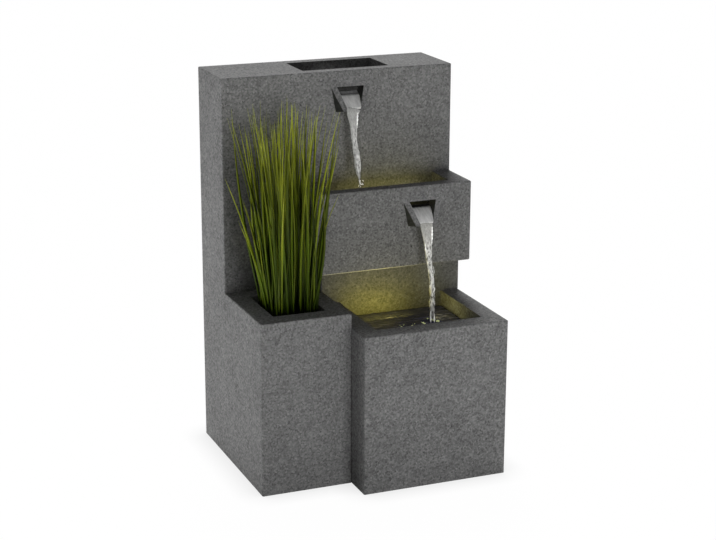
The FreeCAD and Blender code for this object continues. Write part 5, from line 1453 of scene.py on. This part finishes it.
@dataclass
class Lights(SubAssembly):
    """The two underwater lamps and the light that they throw."""

    finishes: Finishes = (
        (LENS, "basin_light_lens pool_light_lens"),
        (BOARD, "basin_light_board pool_light_board"),
        (BLACK_PLASTIC, "basin_light_housing pool_light_housing light_nut"),
        (RUBBER, "pool_light_foot"),
        (BRUSHED_STEEL, "light_bracket"),
        (STEEL, "bracket_screw"),
    )
    diode_size: float = 3.2 * MM
    ring: float = 9.5 * MM
    diodes: int = 4
    warm: Triple = (1.0, 0.85, 0.12)
    pale: Triple = (1.0, 0.9, 0.3)

    def diode_ring(self, lamp: str) -> Piece:
        """Builds the diodes on a lamp's board.

        Args:
            lamp: the start of the names of the lamp's parts.

        Returns:
            The piece.
        """
        low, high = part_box(lamp + "_board")
        middle = (low + high) / 2
        middle.z = high.z + 0.5 * MM
        shape = bmesh.new()
        for index in range(self.diodes):
            place = middle + spoke(math.tau * (index + 0.5) / self.diodes, self.ring)
            matrix = Matrix.Translation(place) @ Matrix.Diagonal((1.0, 1.0, 0.4, 1.0))
            bmesh.ops.create_cube(shape, size=self.diode_size, matrix=matrix)
        bmesh.ops.bevel(
            shape, geom=shape.edges[:], offset=0.3 * MM, offset_type="OFFSET", segments=2, profile=0.5,
            affect="EDGES", material=-1,
        )
        return settled(lamp + "_diodes", shape, Body.FOUNTAIN, DIODE, smooth=False)

    def build(self) -> list[Piece]:
        """Builds the diodes and the lamps' light.

        Returns:
            The diodes.
        """
        for lamp in (
            Lamp("basin_glow", (0.060, -0.042, 0.305), (0.0, 0.8, 1.0), (0.12, 0.02), 0.128, self.warm),
            Lamp("basin_edge_glow", (0.045, -0.095, 0.306), (-0.2, 0.5, 1.0), (0.1, 0.02), 0.065, self.warm),
            Lamp("basin_side_glow", (0.15, -0.06, 0.306), (1.0, 0.1, 0.6), (0.02, 0.08), 0.055, self.pale),
            Lamp("pool_glow", (0.088, 0.030, 0.532), (0.0, 0.7, 1.0), (0.18, 0.02), 0.064, self.pale),
        ):
            lamp.shine()
        return [self.diode_ring("basin_light"), self.diode_ring("pool_light")]


@dataclass
class Pump(SubAssembly):
    """The pump, from its strainer to its rubber feet."""

    finishes: Finishes = (
        (BLACK_PLASTIC, "pump_housing impeller_cover strainer_cover flow_dial"),
        (WHITE_PLASTIC, "impeller"),
        (FERRITE, "rotor_magnet"),
        (CERAMIC, "rotor_shaft"),
        (RUBBER, "shaft_bushes pump_feet"),
    )


@dataclass
class Pipework(SubAssembly):
    """The hoses and fittings from the pump to the trough, the drain plug and the lead's bush."""

    finishes: Finishes = (
        (CLEAR_HOSE, "riser_hose"),
        (RUBBER, "outlet_elbow bulkhead_seals drain_plug cable_grommet"),
        (BLACK_PLASTIC, "bulkhead_fitting bulkhead_nut tray_inlet inlet_nut hose_clips"),
        (BRUSHED_STEEL, "hose_clamps"),
    )


@dataclass
class ServiceDoor(SubAssembly):
    """The door in the back panel with its frame, hinge and latch."""

    finishes: Finishes = (
        (GREY_PLASTIC, "door_frame rear_door latch_knob"),
        (RUBBER, "door_gasket"),
        (STEEL, "hinge_pin latch_cam"),
    )


@dataclass
class Fasteners(SubAssembly):
    """The bolts and nuts that hold the castings together."""

    finishes: Finishes = ((STEEL, "body_bolts body_nuts"),)


@dataclass
class Studio:
    """The pale floor, the soft lights and the camera, which stands where the photograph was taken from."""

    floor_size: float = 60.0
    floor_colour: Triple = (0.88, 0.88, 0.88)
    floor_glow: float = 0.99
    painted_contact_shadow: tuple[float, float] = (0.06, 0.7)
    sky: float = 0.14
    sun_from: tuple[float, float] = (14.0, 52.0)
    sun_power: float = 3.6
    sun_width: float = 24.0
    fills: tuple[Lamp, ...] = (
        Lamp("left_fill", (-1.7, 0.38, 0.14), (1.45, -0.38, 0.11), (0.6, 0.6), 18.0),
        Lamp("front_fill", (0.2, -2.5, 0.25), (-0.2, 2.5, 0.05), (1.1, 1.1), 39.0),
    )
    place: Triple = (-1.3074, -3.2335, 1.4219)
    heading: float = 22.241
    down: float = 16.333
    roll: float = -0.178
    lens: float = 89.29
    sensor: float = 36.0
    sight: float = 100.0

    def seen(self, tree: Tree) -> Socket:
        """Tells the rays that look at something from those that light it.

        Args:
            tree: the tree that reads it.

        Returns:
            1 for rays from the camera, from gloss or through glass, and 0 for the rest.
        """
        path = tree.add("LightPath", {}).outputs
        rays = [path[f"Is {kind} Ray"] for kind in ("Camera", "Glossy", "Transmission")]
        return tree.joined("MAXIMUM", rays)

    def floor(self) -> None:
        """Lays the floor, which looks almost white, with a painted contact shadow next to the object, and
        keeps the object's shadow.
        """
        shape = bmesh.new()
        bmesh.ops.create_grid(shape, x_segments=1, y_segments=1, size=self.floor_size / 2)
        floor = placed("floor", meshed("floor", shape))
        material = bpy.data.materials.new("floor")
        tree = Tree(material)
        tree.nodes.clear()
        matt = tree.add("BsdfDiffuse", {"Color": self.floor_colour})
        # painted contact shadow: the floor's glow dims near the object
        near = tree.add("AmbientOcclusion", {"Distance": self.painted_contact_shadow[0]})
        level = tree.spread(near.outputs["AO"], 0.0, 1.0, self.painted_contact_shadow[1], 1.0)
        glow = tree.add("Emission", {"Strength": level})
        share = tree.times(self.seen(tree), self.floor_glow)
        blend = tree.add("MixShader", {0: share, 1: matt.outputs[0], 2: glow.outputs[0]})
        tree.add("OutputMaterial", {"Surface": blend.outputs[0]})
        floor.data.materials.append(material)

    def world(self) -> None:
        """Makes the sky, soft on the object and white to look at."""
        world = bpy.data.worlds.new("studio")
        bpy.context.scene.world = world
        tree = Tree(world)
        background = tree.nodes["Background"]
        tree.feed(background.inputs["Color"], (1.0, 1.0, 1.0))
        tree.feed(background.inputs["Strength"], tree.spread(self.seen(tree), 0.0, 1.0, self.sky, 1.0))

    def sun(self) -> None:
        """Adds the soft key light from behind and above, on the right."""
        light = bpy.data.lights.new("key", "SUN")
        light.energy = self.sun_power
        light.angle = math.radians(self.sun_width)
        turn, rise = (math.radians(angle) for angle in self.sun_from)
        source = Vector((math.sin(turn) * math.cos(rise), math.cos(turn) * math.cos(rise), math.sin(rise)))
        placed("key", light).rotation_euler = (-source).to_track_quat("-Z", "Y").to_euler()

    def camera(self) -> None:
        """Sets the camera."""
        turn, fall, roll = (math.radians(angle) for angle in (self.heading, self.down, self.roll))
        ahead = Vector((math.sin(turn) * math.cos(fall), math.cos(turn) * math.cos(fall), -math.sin(fall)))
        right = Vector((math.cos(turn), -math.sin(turn), 0.0))
        below = ahead.cross(right)
        across = right * math.cos(roll) + below * math.sin(roll)
        below = below * math.cos(roll) - right * math.sin(roll)
        lens = bpy.data.cameras.new("camera")
        lens.lens = self.lens
        lens.sensor_width = self.sensor
        lens.clip_end = self.sight
        camera = placed("camera", lens)
        axes = Matrix((across, -below, -ahead)).transposed().to_4x4()
        camera.matrix_world = Matrix.Translation(self.place) @ axes
        bpy.context.scene.camera = camera

    def build(self) -> None:
        """Builds the studio."""
        for step in (self.camera, self.floor, self.world, self.sun):
            step()
        for lamp in self.fills:
            lamp.shine()
        bpy.context.scene.view_settings.view_transform = "Standard"


def main() -> None:
    """Builds and dresses the whole fountain."""
    logging.basicConfig(level=logging.INFO, format="%(message)s")
    Studio().build()
    for part in (Castings(), Waters(), Planting(), Lights(), Pump(), Pipework(), ServiceDoor(), Fasteners()):
        pieces = part.build()
        part.dress()
        LOG.info("%s done, %d new pieces", type(part).__name__, len(pieces))


if __name__ == "__main__":
    main()
